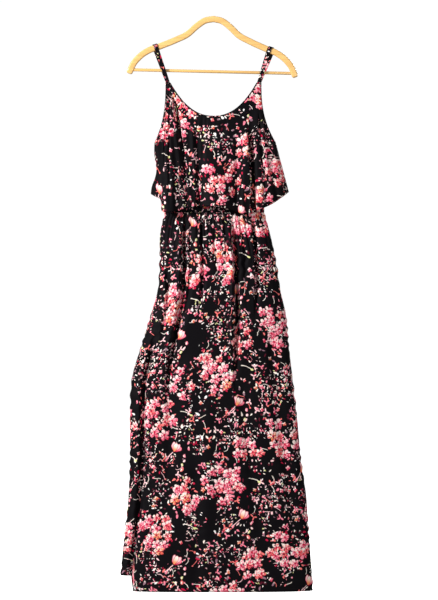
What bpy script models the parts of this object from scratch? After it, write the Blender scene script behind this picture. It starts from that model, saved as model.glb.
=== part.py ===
"""A maxi dress with a flounce over its bodice, hung by its straps on a wooden hanger.

Metres, +Z up, the front faces -Y. The origin is the underside of the bow's crown, where a peg carries it.
Each cloth panel is a wall through sections worked out from the sizes below. A panel is made as a front,
seen from its own side, and a back panel is turned half way round the vertical axis.
"""

import math

import bmesh
import bpy
import numpy as np
from mathutils import Vector

# Cloth
WALL = 0.0012
SEAM_GAP = 0.0003
LAYER_GAP = 0.0009  # between flounce and bodice where both meet a binding
BINDING_GAP = 0.0005
RING_POINTS = 241
SEAM_RUN = 0.002  # the last stretch before a side seam runs straight back
FLATNESS = 2.6  # exponent of a hanging ring's outline: 2 is an ellipse, more is flatter

# Hanger: a bow cut from board with a dowel between its tips
HANGER_TILT_DEG = 1.3
BOW_HEIGHT = 0.016
BOW_BOARD = 0.012
BOW_ROUNDING = 0.003
BOW_MIDDLE = BOW_HEIGHT / 2
BOW_TIP_ROUND = 0.0053
BOW_STEPS = 18
BAR_RADIUS = 0.004
BAR_BELOW_CROWN = 0.138
BAR_HALF = 0.210
BAR_SIDES = 12
# Half of the bow's centre line, out from the crown and down from it
BOW_LINE = [
    {"out": 0.000, "down": 0.0000},
    {"out": 0.022, "down": 0.0045},
    {"out": 0.044, "down": 0.0200},
    {"out": 0.065, "down": 0.0396},
    {"out": 0.096, "down": 0.0560},
    {"out": 0.139, "down": 0.0744},
    {"out": 0.170, "down": 0.0870},
    {"out": 0.192, "down": 0.1040},
    {"out": 0.207, "down": 0.1235},
    {"out": 0.2145, "down": 0.1450},
]

# Straps
STRAP_WIDTH = 0.011
STRAP_WALL = 0.0015
STRAP_CLEAR = 0.0004
STRAP_OUT = 0.148
STRAP_SKEW = {"left": 0.004, "right": 0.009}  # how far it shifts outwards as it crosses the bow
STRAP_SKEW_START = 0.25
STRAP_CORNER_POINTS = 6
STRAP_ROWS = 8

# Neckline and armholes, one outline for the flounce and for the bodice under it
APEX_TOP = -0.1580
APEX_OUT = 0.1250
APEX_IN = 0.1120
APEX_FORWARD = 0.014
NECK_DEPTH = {"front": 0.083, "back": 0.095}
NECK_CURVE = 2.27
NECK_FORWARD = 0.030
UNDERARM = -0.3120
UNDERARM_OUT = {"left": 0.153, "right": 0.162}
ARMHOLE_CURVE = 2.6
APEX_FACING = math.radians(14)  # how far the cloth at the strap faces sideways
TURN_FACING = math.radians(35)  # and where the edge begins its turn under the arm
BINDING_RADIUS = 0.002

# Waist: an elastic in a casing, gathered with the skirt below it
WAIST = {"left": 0.127, "right": 0.132, "depth": 0.024}
CASING_TOP = -0.4795
CASING_BOTTOM = -0.4950
CASING_PUFF = 0.0022
BODICE_BOTTOM = CASING_TOP + SEAM_GAP
GATHERS = 24
GATHER_DEPTH = 0.0022
COLUMNS_PER_GATHER = 3

# Skirt: the outline's half widths and the depth of each half, at heights from the waist seam to the hem
SKIRT_TOP = CASING_BOTTOM - SEAM_GAP
SKIRT = [
    {"height": SKIRT_TOP, "left": 0.127, "right": 0.132, "depth": 0.024},
    {"height": -0.5456, "left": 0.138, "right": 0.146, "depth": 0.031},
    {"height": -0.6236, "left": 0.140, "right": 0.163, "depth": 0.037},
    {"height": -0.6964, "left": 0.145, "right": 0.174, "depth": 0.041},
    {"height": -0.7640, "left": 0.164, "right": 0.189, "depth": 0.043},
    {"height": -0.8420, "left": 0.188, "right": 0.196, "depth": 0.045},
    {"height": -0.9200, "left": 0.211, "right": 0.205, "depth": 0.046},
    {"height": -1.0136, "left": 0.217, "right": 0.216, "depth": 0.047},
    {"height": -1.1228, "left": 0.217, "right": 0.226, "depth": 0.048},
    {"height": -1.2320, "left": 0.221, "right": 0.241, "depth": 0.049},
    {"height": -1.3412, "left": 0.232, "right": 0.249, "depth": 0.050},
    {"height": -1.4764, "left": 0.241, "right": 0.259, "depth": 0.050},
]
HEM = SKIRT[-1]["height"]
SKIRT_ROWS = 13
ROW_CROWDING = 1.5  # more than 1 puts more rows near the gathers
GATHERS_FADE_BELOW = 0.20
SIDE_HEM_RISE = 0.030
SIDE_RISE_STARTS = 0.245  # above the hem
SIDE_RISE_WIDTH = 0.10  # as a share of the panel
# Long folds as troughs: across is 0 at the panel's left seam and 1 at its right one
SKIRT_FOLDS = {
    "front": [
        {"top": 0.12, "bottom": 0.08, "start": -0.6600, "end": -1.4820, "width": 0.026, "depth": 0.011},
        {"top": 0.22, "bottom": 0.23, "start": -0.5020, "end": -1.0200, "width": 0.030, "depth": 0.013},
        {"top": 0.37, "bottom": 0.35, "start": -0.5020, "end": -0.7000, "width": 0.022, "depth": 0.007},
        {"top": 0.67, "bottom": 0.645, "start": -0.5020, "end": -0.9600, "width": 0.024, "depth": 0.014},
        {"top": 0.86, "bottom": 0.79, "start": -0.5020, "end": -0.7600, "width": 0.026, "depth": 0.012},
    ],
    "back": [
        {"top": 0.20, "bottom": 0.15, "start": -0.5020, "end": -1.1220, "width": 0.030, "depth": 0.012},
        {"top": 0.38, "bottom": 0.33, "start": -0.5020, "end": -1.3720, "width": 0.032, "depth": 0.013},
        {"top": 0.55, "bottom": 0.56, "start": -0.5020, "end": -0.9220, "width": 0.028, "depth": 0.011},
        {"top": 0.74, "bottom": 0.80, "start": -0.5220, "end": -1.4820, "width": 0.030, "depth": 0.012},
    ],
}
FOLD_FADE = 0.12  # the share at each side seam over which gathers and folds die out
FOLD_BEGINS = 0.15  # shares of a fold's length over which it deepens and dies out
FOLD_ENDS = 0.5

# Flounce: its hem from the left side seam to the right one, seen from the panel's own side
FLOUNCE_HEM = {
    "front": [
        {"across": -0.1625, "forward": 0.000, "height": -0.4416},
        {"across": -0.1500, "forward": 0.022, "height": -0.4580},
        {"across": -0.1340, "forward": 0.036, "height": -0.4850},
        {"across": -0.1080, "forward": 0.048, "height": -0.4962},
        {"across": -0.0870, "forward": 0.034, "height": -0.4910},
        {"across": -0.0660, "forward": 0.051, "height": -0.4840},
        {"across": -0.0430, "forward": 0.037, "height": -0.4815},
        {"across": -0.0100, "forward": 0.056, "height": -0.4806},
        {"across": 0.0300, "forward": 0.056, "height": -0.4850},
        {"across": 0.0585, "forward": 0.037, "height": -0.4940},
        {"across": 0.0750, "forward": 0.052, "height": -0.4988},
        {"across": 0.0920, "forward": 0.038, "height": -0.4970},
        {"across": 0.1150, "forward": 0.051, "height": -0.4900},
        {"across": 0.1500, "forward": 0.040, "height": -0.4720},
        {"across": 0.1800, "forward": 0.022, "height": -0.4530},
        {"across": 0.1960, "forward": 0.000, "height": -0.4416},
    ],
    "back": [
        {"across": -0.1960, "forward": 0.000, "height": -0.4416},
        {"across": -0.1780, "forward": 0.024, "height": -0.4550},
        {"across": -0.1480, "forward": 0.042, "height": -0.4740},
        {"across": -0.1150, "forward": 0.036, "height": -0.4860},
        {"across": -0.0850, "forward": 0.052, "height": -0.4920},
        {"across": -0.0500, "forward": 0.038, "height": -0.4900},
        {"across": -0.0150, "forward": 0.056, "height": -0.4860},
        {"across": 0.0200, "forward": 0.040, "height": -0.4840},
        {"across": 0.0550, "forward": 0.054, "height": -0.4880},
        {"across": 0.0850, "forward": 0.038, "height": -0.4910},
        {"across": 0.1120, "forward": 0.046, "height": -0.4880},
        {"across": 0.1400, "forward": 0.030, "height": -0.4740},
        {"across": 0.1625, "forward": 0.000, "height": -0.4416},
    ],
}
POINTS_PER_HEM_ROW = 8
FLOUNCE_ROWS = 6
FLOUNCE_FLARE = 1.25  # more than 1 keeps the folds small near the neckline
BODICE_ROWS = 4
BODICE_FLARE = 1.6
ARMHOLE_FALL_COLUMNS = 4
ARMHOLE_TURN_COLUMNS = 4
NECK_COLUMNS = 22
ARMHOLE_HEM_SHARE = 0.17  # the share of a hem that hangs from one armhole

CLOTH_COLOUR = (0.012, 0.012, 0.016)
BINDING_COLOUR = (0.010, 0.010, 0.013)
WOOD_COLOUR = (0.78, 0.47, 0.18)


def material(name, colour, roughness, metallic=0.0):
    made = bpy.data.materials.new(name)
    made.use_nodes = True
    shader = made.node_tree.nodes["Principled BSDF"]
    shader.inputs["Base Color"].default_value = (*colour, 1.0)
    shader.inputs["Roughness"].default_value = roughness
    shader.inputs["Metallic"].default_value = metallic
    return made


def column(table, name):
    return np.array([row[name] for row in table], float)


def smooth_through(knots, values, at):
    """The curve with no corners through values at the knots, read at each of at."""
    slopes = np.gradient(values, knots)
    i = np.clip(np.searchsorted(knots, at, side="right") - 1, 0, len(knots) - 2)
    span = knots[i + 1] - knots[i]
    t = (at - knots[i]) / span
    return (
        (2 * t**3 - 3 * t**2 + 1) * values[i]
        + (t**3 - 2 * t**2 + t) * span * slopes[i]
        + (3 * t**2 - 2 * t**3) * values[i + 1]
        + (t**3 - t**2) * span * slopes[i + 1]
    )


def ease(t):
    """0 up to 0, 1 from 1, and a smooth rise between."""
    t = np.clip(t, 0, 1)
    return t * t * (3 - 2 * t)


def lengths_along(points):
    steps = np.linalg.norm(np.diff(points, axis=0), axis=1)
    return np.concatenate([[0], np.cumsum(steps)])


def spaced(points, shares):
    """Points at the given shares of a line's length."""
    along = lengths_along(points)
    return np.stack([np.interp(shares * along[-1], along, points[:, k]) for k in range(3)], axis=1)


def add_object(name, data, group, surface=None):
    made = bpy.data.objects.new(name, data)
    group.objects.link(made)
    if surface:
        data.materials.append(surface)
    return made


def add_sheet(name, points, wall, offset, group, surface):
    """A wall on a grid of points, given as rows from top to bottom and columns from left to right."""
    rows, columns = points.shape[0] - 1, points.shape[1] - 1
    grid = bmesh.new()
    bmesh.ops.create_grid(grid, x_segments=columns, y_segments=rows, size=1)
    for vertex in grid.verts:
        i = round((1 - vertex.co.y) / 2 * rows)
        j = round((1 + vertex.co.x) / 2 * columns)
        vertex.co = Vector(points[i, j])
    mesh = bpy.data.meshes.new(name)
    grid.to_mesh(mesh)
    grid.free()
    mesh.shade_smooth()
    sheet = add_object(name, mesh, group, surface)
    thickness = sheet.modifiers.new("Wall", "SOLIDIFY")
    thickness.thickness = wall
    thickness.offset = offset


def add_binding(name, points, group, surface):
    """A narrow rolled edge along points."""
    data = bpy.data.curves.new(name, "CURVE")
    data.dimensions = "3D"
    data.bevel_depth = BINDING_RADIUS
    data.bevel_resolution = 1
    data.use_fill_caps = True
    line = data.splines.new("POLY")
    line.points.add(len(points) - 1)
    for place, point in zip(line.points, points):
        place.co = (*point, 1)
    add_object(name, data, group, surface)


def as_mesh(curve, group):
    """The curve's solid as a mesh object of the same name, its caps welded, in place of the curve."""
    bpy.context.view_layer.update()
    mesh = bpy.data.meshes.new_from_object(curve.evaluated_get(bpy.context.evaluated_depsgraph_get()))
    solid = bmesh.new()
    solid.from_mesh(mesh)
    bmesh.ops.remove_doubles(solid, verts=solid.verts, dist=0.00001)
    solid.to_mesh(mesh)
    solid.free()
    name, place, parent = curve.name, curve.matrix_world.copy(), curve.parent
    bpy.data.objects.remove(curve)
    made = add_object(name, mesh, group)
    made.parent = parent
    made.matrix_world = place
    return made


def cut(solid, cutter):
    hole = solid.modifiers.new(cutter.name, "BOOLEAN")
    hole.operation = "DIFFERENCE"
    hole.object = cutter


def add_level_rod(name, radius, length, group, parent):
    """A round rod across the hanger at the bar's height."""
    bpy.ops.mesh.primitive_cylinder_add(
        vertices=BAR_SIDES,
        radius=radius,
        depth=length,
        location=(0, 0, BOW_MIDDLE - BAR_BELOW_CROWN),
        rotation=(0, math.pi / 2, 0),
    )
    rod = bpy.context.active_object
    rod.name = name
    for other in list(rod.users_collection):
        other.objects.unlink(rod)
    group.objects.link(rod)
    rod.parent = parent
    return rod


def bow_centre(out):
    """(across, height) of the bow's centre line at a distance out, negative to the left, untilted."""
    down = smooth_through(column(BOW_LINE, "out"), column(BOW_LINE, "down"), abs(out))
    return out, BOW_MIDDLE - down


def tilted(across, height):
    """A hanger point after the tilt about the mount."""
    turn = math.radians(HANGER_TILT_DEG)
    return (
        across * math.cos(turn) + height * math.sin(turn),
        height * math.cos(turn) - across * math.sin(turn),
    )


def bow_outline():
    """The bow's sawn outline: the upper edge from tip to tip, the lower edge back, and rounded tips."""
    tip = BOW_LINE[-1]["out"]
    line = np.array([bow_centre(out) for out in np.linspace(-tip, tip, 2 * BOW_STEPS + 1)])
    run = np.gradient(line, axis=0)
    run /= np.linalg.norm(run, axis=1)[:, None]
    across = np.stack([-run[:, 1], run[:, 0]], axis=1) * BOW_HEIGHT / 2
    half_turn = np.radians([54, 18, -18, -54])
    beyond = run * BOW_TIP_ROUND
    right_tip = [line[-1] + across[-1] * math.sin(a) + beyond[-1] * math.cos(a) for a in half_turn]
    left_tip = [line[0] - across[0] * math.sin(a) - beyond[0] * math.cos(a) for a in half_turn]
    return [*(line + across), *right_tip, *(line - across)[::-1], *left_tip]


def build_hanger(group, cutters):
    wood = material("wood", WOOD_COLOUR, 0.45)
    tilt = bpy.data.objects.new("hanger_tilt", None)
    group.objects.link(tilt)

    board = bpy.data.curves.new("hanger_bow", "CURVE")
    board.dimensions = "2D"
    board.fill_mode = "BOTH"
    board.extrude = BOW_BOARD / 2 - BOW_ROUNDING
    board.bevel_depth = BOW_ROUNDING
    board.bevel_resolution = 1
    board.offset = -BOW_ROUNDING
    outline = bow_outline()
    edge = board.splines.new("POLY")
    edge.points.add(len(outline) - 1)
    for place, (across, height) in zip(edge.points, outline):
        place.co = (across, height, 0, 1)
    edge.use_cyclic_u = True
    bow = add_object("hanger_bow", board, group, wood)
    bow.rotation_euler.x = math.pi / 2
    bow.parent = tilt
    bow = as_mesh(bow, group)
    bow.data.materials.clear()
    bow.data.materials.append(wood)
    sockets = add_level_rod("bar_sockets", BAR_RADIUS + SEAM_GAP, 2 * (BAR_HALF + SEAM_GAP), cutters, tilt)
    sockets.hide_render = True
    sockets.display_type = "WIRE"
    cut(bow, sockets)
    bar = add_level_rod("hanger_bar", BAR_RADIUS, 2 * BAR_HALF, group, tilt)
    bar.data.materials.append(wood)
    tilt.rotation_euler.y = math.radians(HANGER_TILT_DEG)


def side_sizes(side):
    """Which world side lies on the panel's left and which on its right, seen from the panel's own side."""
    return ("left", "right") if side == "front" else ("right", "left")


def with_surface_frame(line, facing):
    """(points, directions into the panel, directions out of the cloth) of an edge, left to right."""
    run = np.gradient(line, axis=0)
    inward = np.cross(run, facing)
    return line, inward / np.linalg.norm(inward, axis=1)[:, None], facing


def armhole_edge(out, hand):
    """A panel's armhole edge between underarm and strap; hand is -1 on the panel's left and 1 on its right.

    It falls from the strap, and a quarter circle takes it under the arm to the side seam.
    """
    radius = APEX_FORWARD - SEAM_RUN
    turns = np.linspace(0, math.pi / 2, ARMHOLE_TURN_COLUMNS + 1)
    fall = np.linspace(0, 1, ARMHOLE_FALL_COLUMNS + 1)[:-1]
    height = np.concatenate([
        APEX_TOP + (UNDERARM + radius - APEX_TOP) * fall,
        UNDERARM + radius * (1 - np.sin(turns)),
    ])
    forward = np.concatenate([np.full(len(fall), APEX_FORWARD), SEAM_RUN + radius * np.cos(turns)])
    down = (APEX_TOP - height) / (APEX_TOP - UNDERARM)
    across = APEX_OUT + (out - APEX_OUT) * down**ARMHOLE_CURVE
    sideways = np.concatenate([
        APEX_FACING + (TURN_FACING - APEX_FACING) * fall,
        TURN_FACING + (math.pi / 2 - TURN_FACING) * turns / (math.pi / 2),
    ])
    line = np.stack([hand * across, -forward, height], axis=1)
    facing = np.stack([hand * np.sin(sideways), -np.cos(sideways), np.zeros(len(line))], axis=1)
    order = slice(None, None, hand)
    line, inward, facing = with_surface_frame(line[order], facing[order])
    inward[-1 if hand > 0 else 0] = (0, 0, -1)
    return line, inward, facing


def neck_edge(side):
    """A panel's neckline from the left strap to the right one."""
    share = np.sin(np.linspace(-math.pi / 2, math.pi / 2, NECK_COLUMNS + 1))
    deep = 1 - np.abs(share) ** NECK_CURVE
    forward = NECK_FORWARD - (NECK_FORWARD - APEX_FORWARD) * share**2
    line = np.stack([APEX_IN * share, -forward, APEX_TOP - NECK_DEPTH[side] * deep], axis=1)
    level = np.gradient(line, axis=0) * [1, 1, 0]
    level /= np.linalg.norm(level, axis=1)[:, None]
    return with_surface_frame(line, np.stack([level[:, 1], -level[:, 0], level[:, 2]], axis=1))


def moved(edge, into_panel, out_of_cloth):
    line, inward, outward = edge
    return line + inward * into_panel + outward * out_of_cloth


def top_edge(side, out_of_cloth):
    """A panel's upper edge: armhole, strap end, neckline, strap end, armhole."""
    left, right = side_sizes(side)
    below_binding = 2 * BINDING_RADIUS + BINDING_GAP
    parts = [
        moved(armhole_edge(UNDERARM_OUT[left], -1), below_binding, out_of_cloth),
        moved(neck_edge(side), below_binding, out_of_cloth),
        moved(armhole_edge(UNDERARM_OUT[right], 1), below_binding, out_of_cloth),
    ]
    return np.concatenate(parts)


def hem_shares():
    """Where along a hem each column of top_edge ends."""
    columns = ARMHOLE_FALL_COLUMNS + ARMHOLE_TURN_COLUMNS
    under_arm = np.linspace(0, ARMHOLE_HEM_SHARE, columns + 1)
    neck = np.linspace(ARMHOLE_HEM_SHARE, 1 - ARMHOLE_HEM_SHARE, NECK_COLUMNS + 3)[1:-1]
    return np.concatenate([under_arm, neck, 1 - under_arm[::-1]])


def with_seams(points):
    """Adds the column that each side seam's edge lies on, straight behind the panel's last one."""
    left, right = points[:, :1].copy(), points[:, -1:].copy()
    left[..., 1] = right[..., 1] = -SEAM_GAP / 2
    return np.concatenate([left, points, right], axis=1)


def placed(points, side):
    return points if side == "front" else points * [-1, -1, 1]


def hung_panel(side, out_of_cloth, hem, rows, flare):
    """A panel between its upper edge and a hem line: the cloth hangs straight from one to the other."""
    top, bottom = top_edge(side, out_of_cloth), spaced(hem, hem_shares())
    down = np.linspace(0, 1, rows + 1)[:, None, None]
    points = top + (bottom - top) * down
    points[..., 1] = top[:, 1] + (bottom - top)[:, 1] * down[..., 0] ** flare
    return placed(with_seams(points), side)


def flounce_hem(side):
    """The flounce's hem line, from its left seam to its right one, seen from its own side."""
    table = FLOUNCE_HEM[side]
    at = np.linspace(0, len(table) - 1, POINTS_PER_HEM_ROW * (len(table) - 1) + 1)
    knots = np.arange(len(table), dtype=float)
    across, forward, height = (
        smooth_through(knots, column(table, name), at) for name in ("across", "forward", "height")
    )
    return np.stack([across, -np.maximum(forward, 0) - SEAM_RUN, height], axis=1)


def half_ring(left, right, depth, height):
    """The front half of a hanging ring, from its left seam to its right one."""
    turn = np.linspace(math.pi, 0, RING_POINTS)
    wide = np.where(np.cos(turn) < 0, left, right)
    across = wide * np.sign(np.cos(turn)) * np.abs(np.cos(turn)) ** (2 / FLATNESS)
    forward = depth * np.abs(np.sin(turn)) ** (2 / FLATNESS) + SEAM_RUN
    return np.stack([across, -forward, np.full(len(turn), height)], axis=1)


def pushed_out(ring, amount):
    """The ring's points moved out of the cloth, less and less towards the side seams."""
    run = np.gradient(ring, axis=0)
    outward = np.stack([run[:, 1], -run[:, 0], np.zeros(len(ring))], axis=1)
    outward /= np.linalg.norm(outward, axis=1)[:, None]
    share = np.linspace(0, 1, len(ring))
    off_seams = ease(share / FOLD_FADE) * ease((1 - share) / FOLD_FADE)
    return ring + outward * (amount * off_seams)[:, None]


def gather_waves(share):
    return np.cos(2 * math.pi * GATHERS * share)


def fold_depth(side, share, height):
    """How far the long folds' troughs lie behind the panel's plain form."""
    depth = np.zeros(len(share))
    for fold in SKIRT_FOLDS[side]:
        down = (fold["start"] - height) / (fold["start"] - fold["end"])
        if not 0 <= down <= 1:
            continue
        middle = fold["top"] + (fold["bottom"] - fold["top"]) * down
        strength = ease(down / FOLD_BEGINS) * ease((1 - down) / FOLD_ENDS)
        depth += fold["depth"] * strength * np.exp(-(((share - middle) / fold["width"]) ** 2))
    return depth


def skirt_panel(side):
    left, right = side_sizes(side)
    heights = column(SKIRT, "height")
    rows = SKIRT_TOP + (HEM - SKIRT_TOP) * np.linspace(0, 1, SKIRT_ROWS + 1) ** ROW_CROWDING
    share = np.linspace(0, 1, COLUMNS_PER_GATHER * GATHERS + 1)
    points = []
    for height in rows:
        sizes = {
            name: float(smooth_through(-heights, column(SKIRT, name), np.array([-height]))[0])
            for name in ("left", "right", "depth")
        }
        ring = spaced(half_ring(sizes[left], sizes[right], sizes["depth"], height), share)
        fading = 1 - ease((SKIRT_TOP - height) / GATHERS_FADE_BELOW)
        waves = GATHER_DEPTH * fading * gather_waves(share)
        ring = pushed_out(ring, waves - fold_depth(side, share, height))
        if side == "front":
            low = ease((HEM + SIDE_RISE_STARTS - height) / SIDE_RISE_STARTS)
            ring[:, 2] += SIDE_HEM_RISE * low * (1 - ease(share / SIDE_RISE_WIDTH))
        points.append(ring)
    return placed(with_seams(np.array(points)), side)


def casing_panel(side):
    left, right = side_sizes(side)
    share = np.linspace(0, 1, COLUMNS_PER_GATHER * GATHERS + 1)
    points = []
    for height, puff in (
        (CASING_TOP, 0.0),
        ((CASING_TOP + CASING_BOTTOM) / 2, CASING_PUFF),
        (CASING_BOTTOM, 0.0),
    ):
        ring = spaced(half_ring(WAIST[left], WAIST[right], WAIST["depth"], height), share)
        points.append(pushed_out(ring, puff + GATHER_DEPTH * gather_waves(share)))
    return placed(with_seams(np.array(points)), side)


def bodice_panel(side):
    left, right = side_sizes(side)
    under_flounce = -(WALL + LAYER_GAP)
    hem = half_ring(WAIST[left], WAIST[right], WAIST["depth"], BODICE_BOTTOM)
    return hung_panel(side, under_flounce, hem, BODICE_ROWS, BODICE_FLARE)


def build_panels(group):
    cloth = material("printed_cloth", CLOTH_COLOUR, 0.8)
    for side in ("front", "back"):
        flounce = hung_panel(side, 0.0, flounce_hem(side), FLOUNCE_ROWS, FLOUNCE_FLARE)
        add_sheet(f"flounce_{side}", flounce, WALL, -1, group, cloth)
        add_sheet(f"bodice_{side}", bodice_panel(side), WALL, -1, group, cloth)
        add_sheet(f"waist_casing_{side}", casing_panel(side), WALL, -1, group, cloth)
        add_sheet(f"skirt_{side}", skirt_panel(side), WALL, -1, group, cloth)


def build_bindings(group):
    """Rolled edges on the two cloth layers: one along each neckline, one round each armhole."""
    binding = material("binding", BINDING_COLOUR, 0.75)
    middle_of_layers = -(WALL + LAYER_GAP / 2)
    for side in ("front", "back"):
        line = placed(moved(neck_edge(side), BINDING_RADIUS, middle_of_layers), side)
        add_binding(f"neck_binding_{side}", line, group, binding)
    for hand, name in ((-1, "left"), (1, "right")):
        front = armhole_edge(UNDERARM_OUT[name], hand)
        back = armhole_edge(UNDERARM_OUT[name], -hand)
        front = moved(front, BINDING_RADIUS, middle_of_layers)
        back = placed(moved(back, BINDING_RADIUS, middle_of_layers), "back")
        front = front[::-1] if hand < 0 else front
        back = back[::-1] if hand < 0 else back
        add_binding(f"armhole_binding_{name}", np.concatenate([front, back]), group, binding)


def over_the_bow():
    """(up, deep) of a strap's run over the bow's board, from its front face to its back one."""
    reach = BOW_ROUNDING + STRAP_CLEAR + STRAP_WALL / 2
    rise, flat = BOW_HEIGHT / 2 - BOW_ROUNDING, BOW_BOARD / 2 - BOW_ROUNDING
    corner = np.radians(np.linspace(0, 90, STRAP_CORNER_POINTS))
    side, top = reach * np.cos(corner), reach * np.sin(corner)
    front = np.stack([rise + top, -flat - side], axis=1)
    back = np.stack([rise + top, flat + side], axis=1)[::-1]
    below = -BOW_HEIGHT / 2
    return np.concatenate([[[below, front[0, 1]]], front, back, [[below, back[-1, 1]]]])


def strap_line(hand, name):
    """(points, width directions) of a strap: up from the front, over the bow and down to the back."""
    out = hand * STRAP_OUT
    middle = np.array(tilted(*bow_centre(out)))
    along = np.array(tilted(*bow_centre(out + STRAP_WIDTH / 10))) - middle
    along /= np.linalg.norm(along)
    up = np.array([-along[1], along[0]])
    run = over_the_bow()
    skew = hand * STRAP_SKEW[name] * (np.linspace(0, 1, len(run)) - STRAP_SKEW_START)
    flat = middle + run[:, :1] * up + skew[:, None] * along
    over = np.stack([flat[:, 0], run[:, 1], flat[:, 1]], axis=1)
    inside = APEX_FORWARD - WALL - LAYER_GAP / 2
    apex = np.array([hand * (APEX_OUT + APEX_IN) / 2, inside, APEX_TOP + SEAM_GAP])
    front = apex * [1, -1, 1]
    down = np.linspace(0, 1, STRAP_ROWS)[:-1, None]
    rising = front + (over[0] - front) * down
    falling = (apex + (over[-1] - apex) * down)[::-1]
    points = np.concatenate([rising, over, falling])
    level = np.array([1.0, 0, 0])
    tangent = np.array([along[0], 0, along[1]])
    near_bow = np.clip((points[:, 2] - APEX_TOP) / (over[0][2] - APEX_TOP), 0, 1)[:, None]
    width = level + (tangent - level) * near_bow
    return points, width / np.linalg.norm(width, axis=1)[:, None]


def build_straps(group):
    cloth = material("strap_cloth", CLOTH_COLOUR, 0.8)
    for hand, name in ((-1, "left"), (1, "right")):
        points, width = strap_line(hand, name)
        half = width * STRAP_WIDTH / 2
        strip = np.stack([points - half, points + half], axis=1)
        add_sheet(f"strap_{name}", strip[::-1], STRAP_WALL, 0, group, cloth)


def main():
    for old in list(bpy.data.objects):
        bpy.data.objects.remove(old)
    dress = bpy.data.collections.new("maxi_dress_on_hanger")
    cutters = bpy.data.collections.new("cutters")
    for group in (dress, cutters):
        bpy.context.scene.collection.children.link(group)
    build_hanger(dress, cutters)
    build_straps(dress)
    build_bindings(dress)
    build_panels(dress)


main()
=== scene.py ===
"""The looks of a maxi dress on a wooden hanger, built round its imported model.

Metres, +Z up, the front of the dress faces -Y. The origin is the underside of the hanger's crown.
"""

import logging
import math
from dataclasses import dataclass, field
from enum import Enum
from typing import Callable, ClassVar, Sequence

import bmesh
import bpy
import numpy as np
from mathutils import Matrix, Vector

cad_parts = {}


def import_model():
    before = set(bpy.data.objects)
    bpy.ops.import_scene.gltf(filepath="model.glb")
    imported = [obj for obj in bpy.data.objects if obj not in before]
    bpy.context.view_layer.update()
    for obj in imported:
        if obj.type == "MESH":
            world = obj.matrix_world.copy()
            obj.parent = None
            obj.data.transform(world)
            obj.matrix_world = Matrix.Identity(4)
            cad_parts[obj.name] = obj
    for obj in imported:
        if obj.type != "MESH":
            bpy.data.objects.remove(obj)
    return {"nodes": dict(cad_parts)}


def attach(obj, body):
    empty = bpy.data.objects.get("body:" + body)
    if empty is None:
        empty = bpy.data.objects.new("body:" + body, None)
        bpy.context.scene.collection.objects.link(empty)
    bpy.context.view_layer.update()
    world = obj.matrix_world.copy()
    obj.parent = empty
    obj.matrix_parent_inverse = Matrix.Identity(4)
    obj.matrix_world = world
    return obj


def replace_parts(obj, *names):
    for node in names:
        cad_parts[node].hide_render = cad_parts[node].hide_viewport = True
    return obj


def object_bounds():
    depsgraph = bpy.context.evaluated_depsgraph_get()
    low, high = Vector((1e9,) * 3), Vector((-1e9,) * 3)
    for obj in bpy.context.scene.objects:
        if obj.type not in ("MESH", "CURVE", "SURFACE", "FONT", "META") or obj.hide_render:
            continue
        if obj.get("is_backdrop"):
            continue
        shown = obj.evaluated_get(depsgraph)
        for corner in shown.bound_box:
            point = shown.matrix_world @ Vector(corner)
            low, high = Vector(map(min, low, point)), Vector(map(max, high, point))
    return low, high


log = logging.getLogger("maxi_dress")

BODY = "root"
SEAM_GAP = 0.0003
Table = Sequence[dict]
Points = np.ndarray


class Side(Enum):
    """The two panels that face each other in the dress."""

    FRONT = "front"
    BACK = "back"

    def ordered(self, left: object, right: object) -> tuple:
        """Returns the wearer's two sides' values from this panel's left to its right."""
        return (left, right) if self is Side.FRONT else (right, left)


class Weave(Enum):
    """Which thread structure a cloth shows from close by."""

    CREPE = "crepe"
    ROLLED = "rolled"


# Curves and grids


def table(names: str, *rows: Sequence[float]) -> Table:
    """Returns rows of numbers, each number under its column's name."""
    return tuple(dict(zip(names.split(), row)) for row in rows)


def column(rows: Table, name: str) -> Points:
    """Returns one named column of a table."""
    return np.array([row[name] for row in rows], float)


def unit(vectors: Points) -> Points:
    """Returns vectors at a length of 1."""
    return vectors / np.linalg.norm(vectors, axis=-1)[..., None]


def lengths(points: Points) -> Points:
    """Returns how far along a line each of its points lies."""
    return np.concatenate([[0], np.cumsum(np.linalg.norm(np.diff(points, axis=0), axis=1))])


def smooth_through(knots: Points, values: Points, at: Points) -> Points:
    """Reads the curve with no corners that runs through values at the knots.

    Args:
        knots: Rising places along the curve.
        values: The curve's value at each knot.
        at: The places to read.

    Returns:
        The curve's value at each of at.
    """
    slopes = np.gradient(values, knots)
    i = np.clip(np.searchsorted(knots, at, side="right") - 1, 0, len(knots) - 2)
    span = knots[i + 1] - knots[i]
    t = (at - knots[i]) / span
    return (
        (2 * t**3 - 3 * t**2 + 1) * values[i]
        + (t**3 - 2 * t**2 + t) * span * slopes[i]
        + (3 * t**2 - 2 * t**3) * values[i + 1]
        + (t**3 - t**2) * span * slopes[i + 1]
    )


def ease(t: Points) -> Points:
    """Returns 0 up to 0, 1 from 1, and a smooth rise between."""
    t = np.clip(t, 0, 1)
    return t * t * (3 - 2 * t)


def spaced(points: Points, shares: Points) -> Points:
    """Returns points at the given shares of a line's length."""
    along = lengths(points)
    return np.stack([np.interp(shares * along[-1], along, points[:, k]) for k in range(3)], axis=1)


def placed(points: Points, side: Side) -> Points:
    """Returns a panel's points where it hangs: a back panel is turned half way round."""
    return points if side is Side.FRONT else points * [-1, -1, 1]


def level_run(points: Points) -> Points:
    """Returns how far each point of each row lies along it, seen from above, from the row's middle.

    Args:
        points: The grid of points.
    """
    steps = np.linalg.norm(np.diff(points[..., :2], axis=1), axis=2)
    run = np.concatenate([np.zeros((len(points), 1)), np.cumsum(steps, axis=1)], axis=1)
    middle = points.shape[1] // 2
    return run - run[:, middle : middle + 1]


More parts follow.
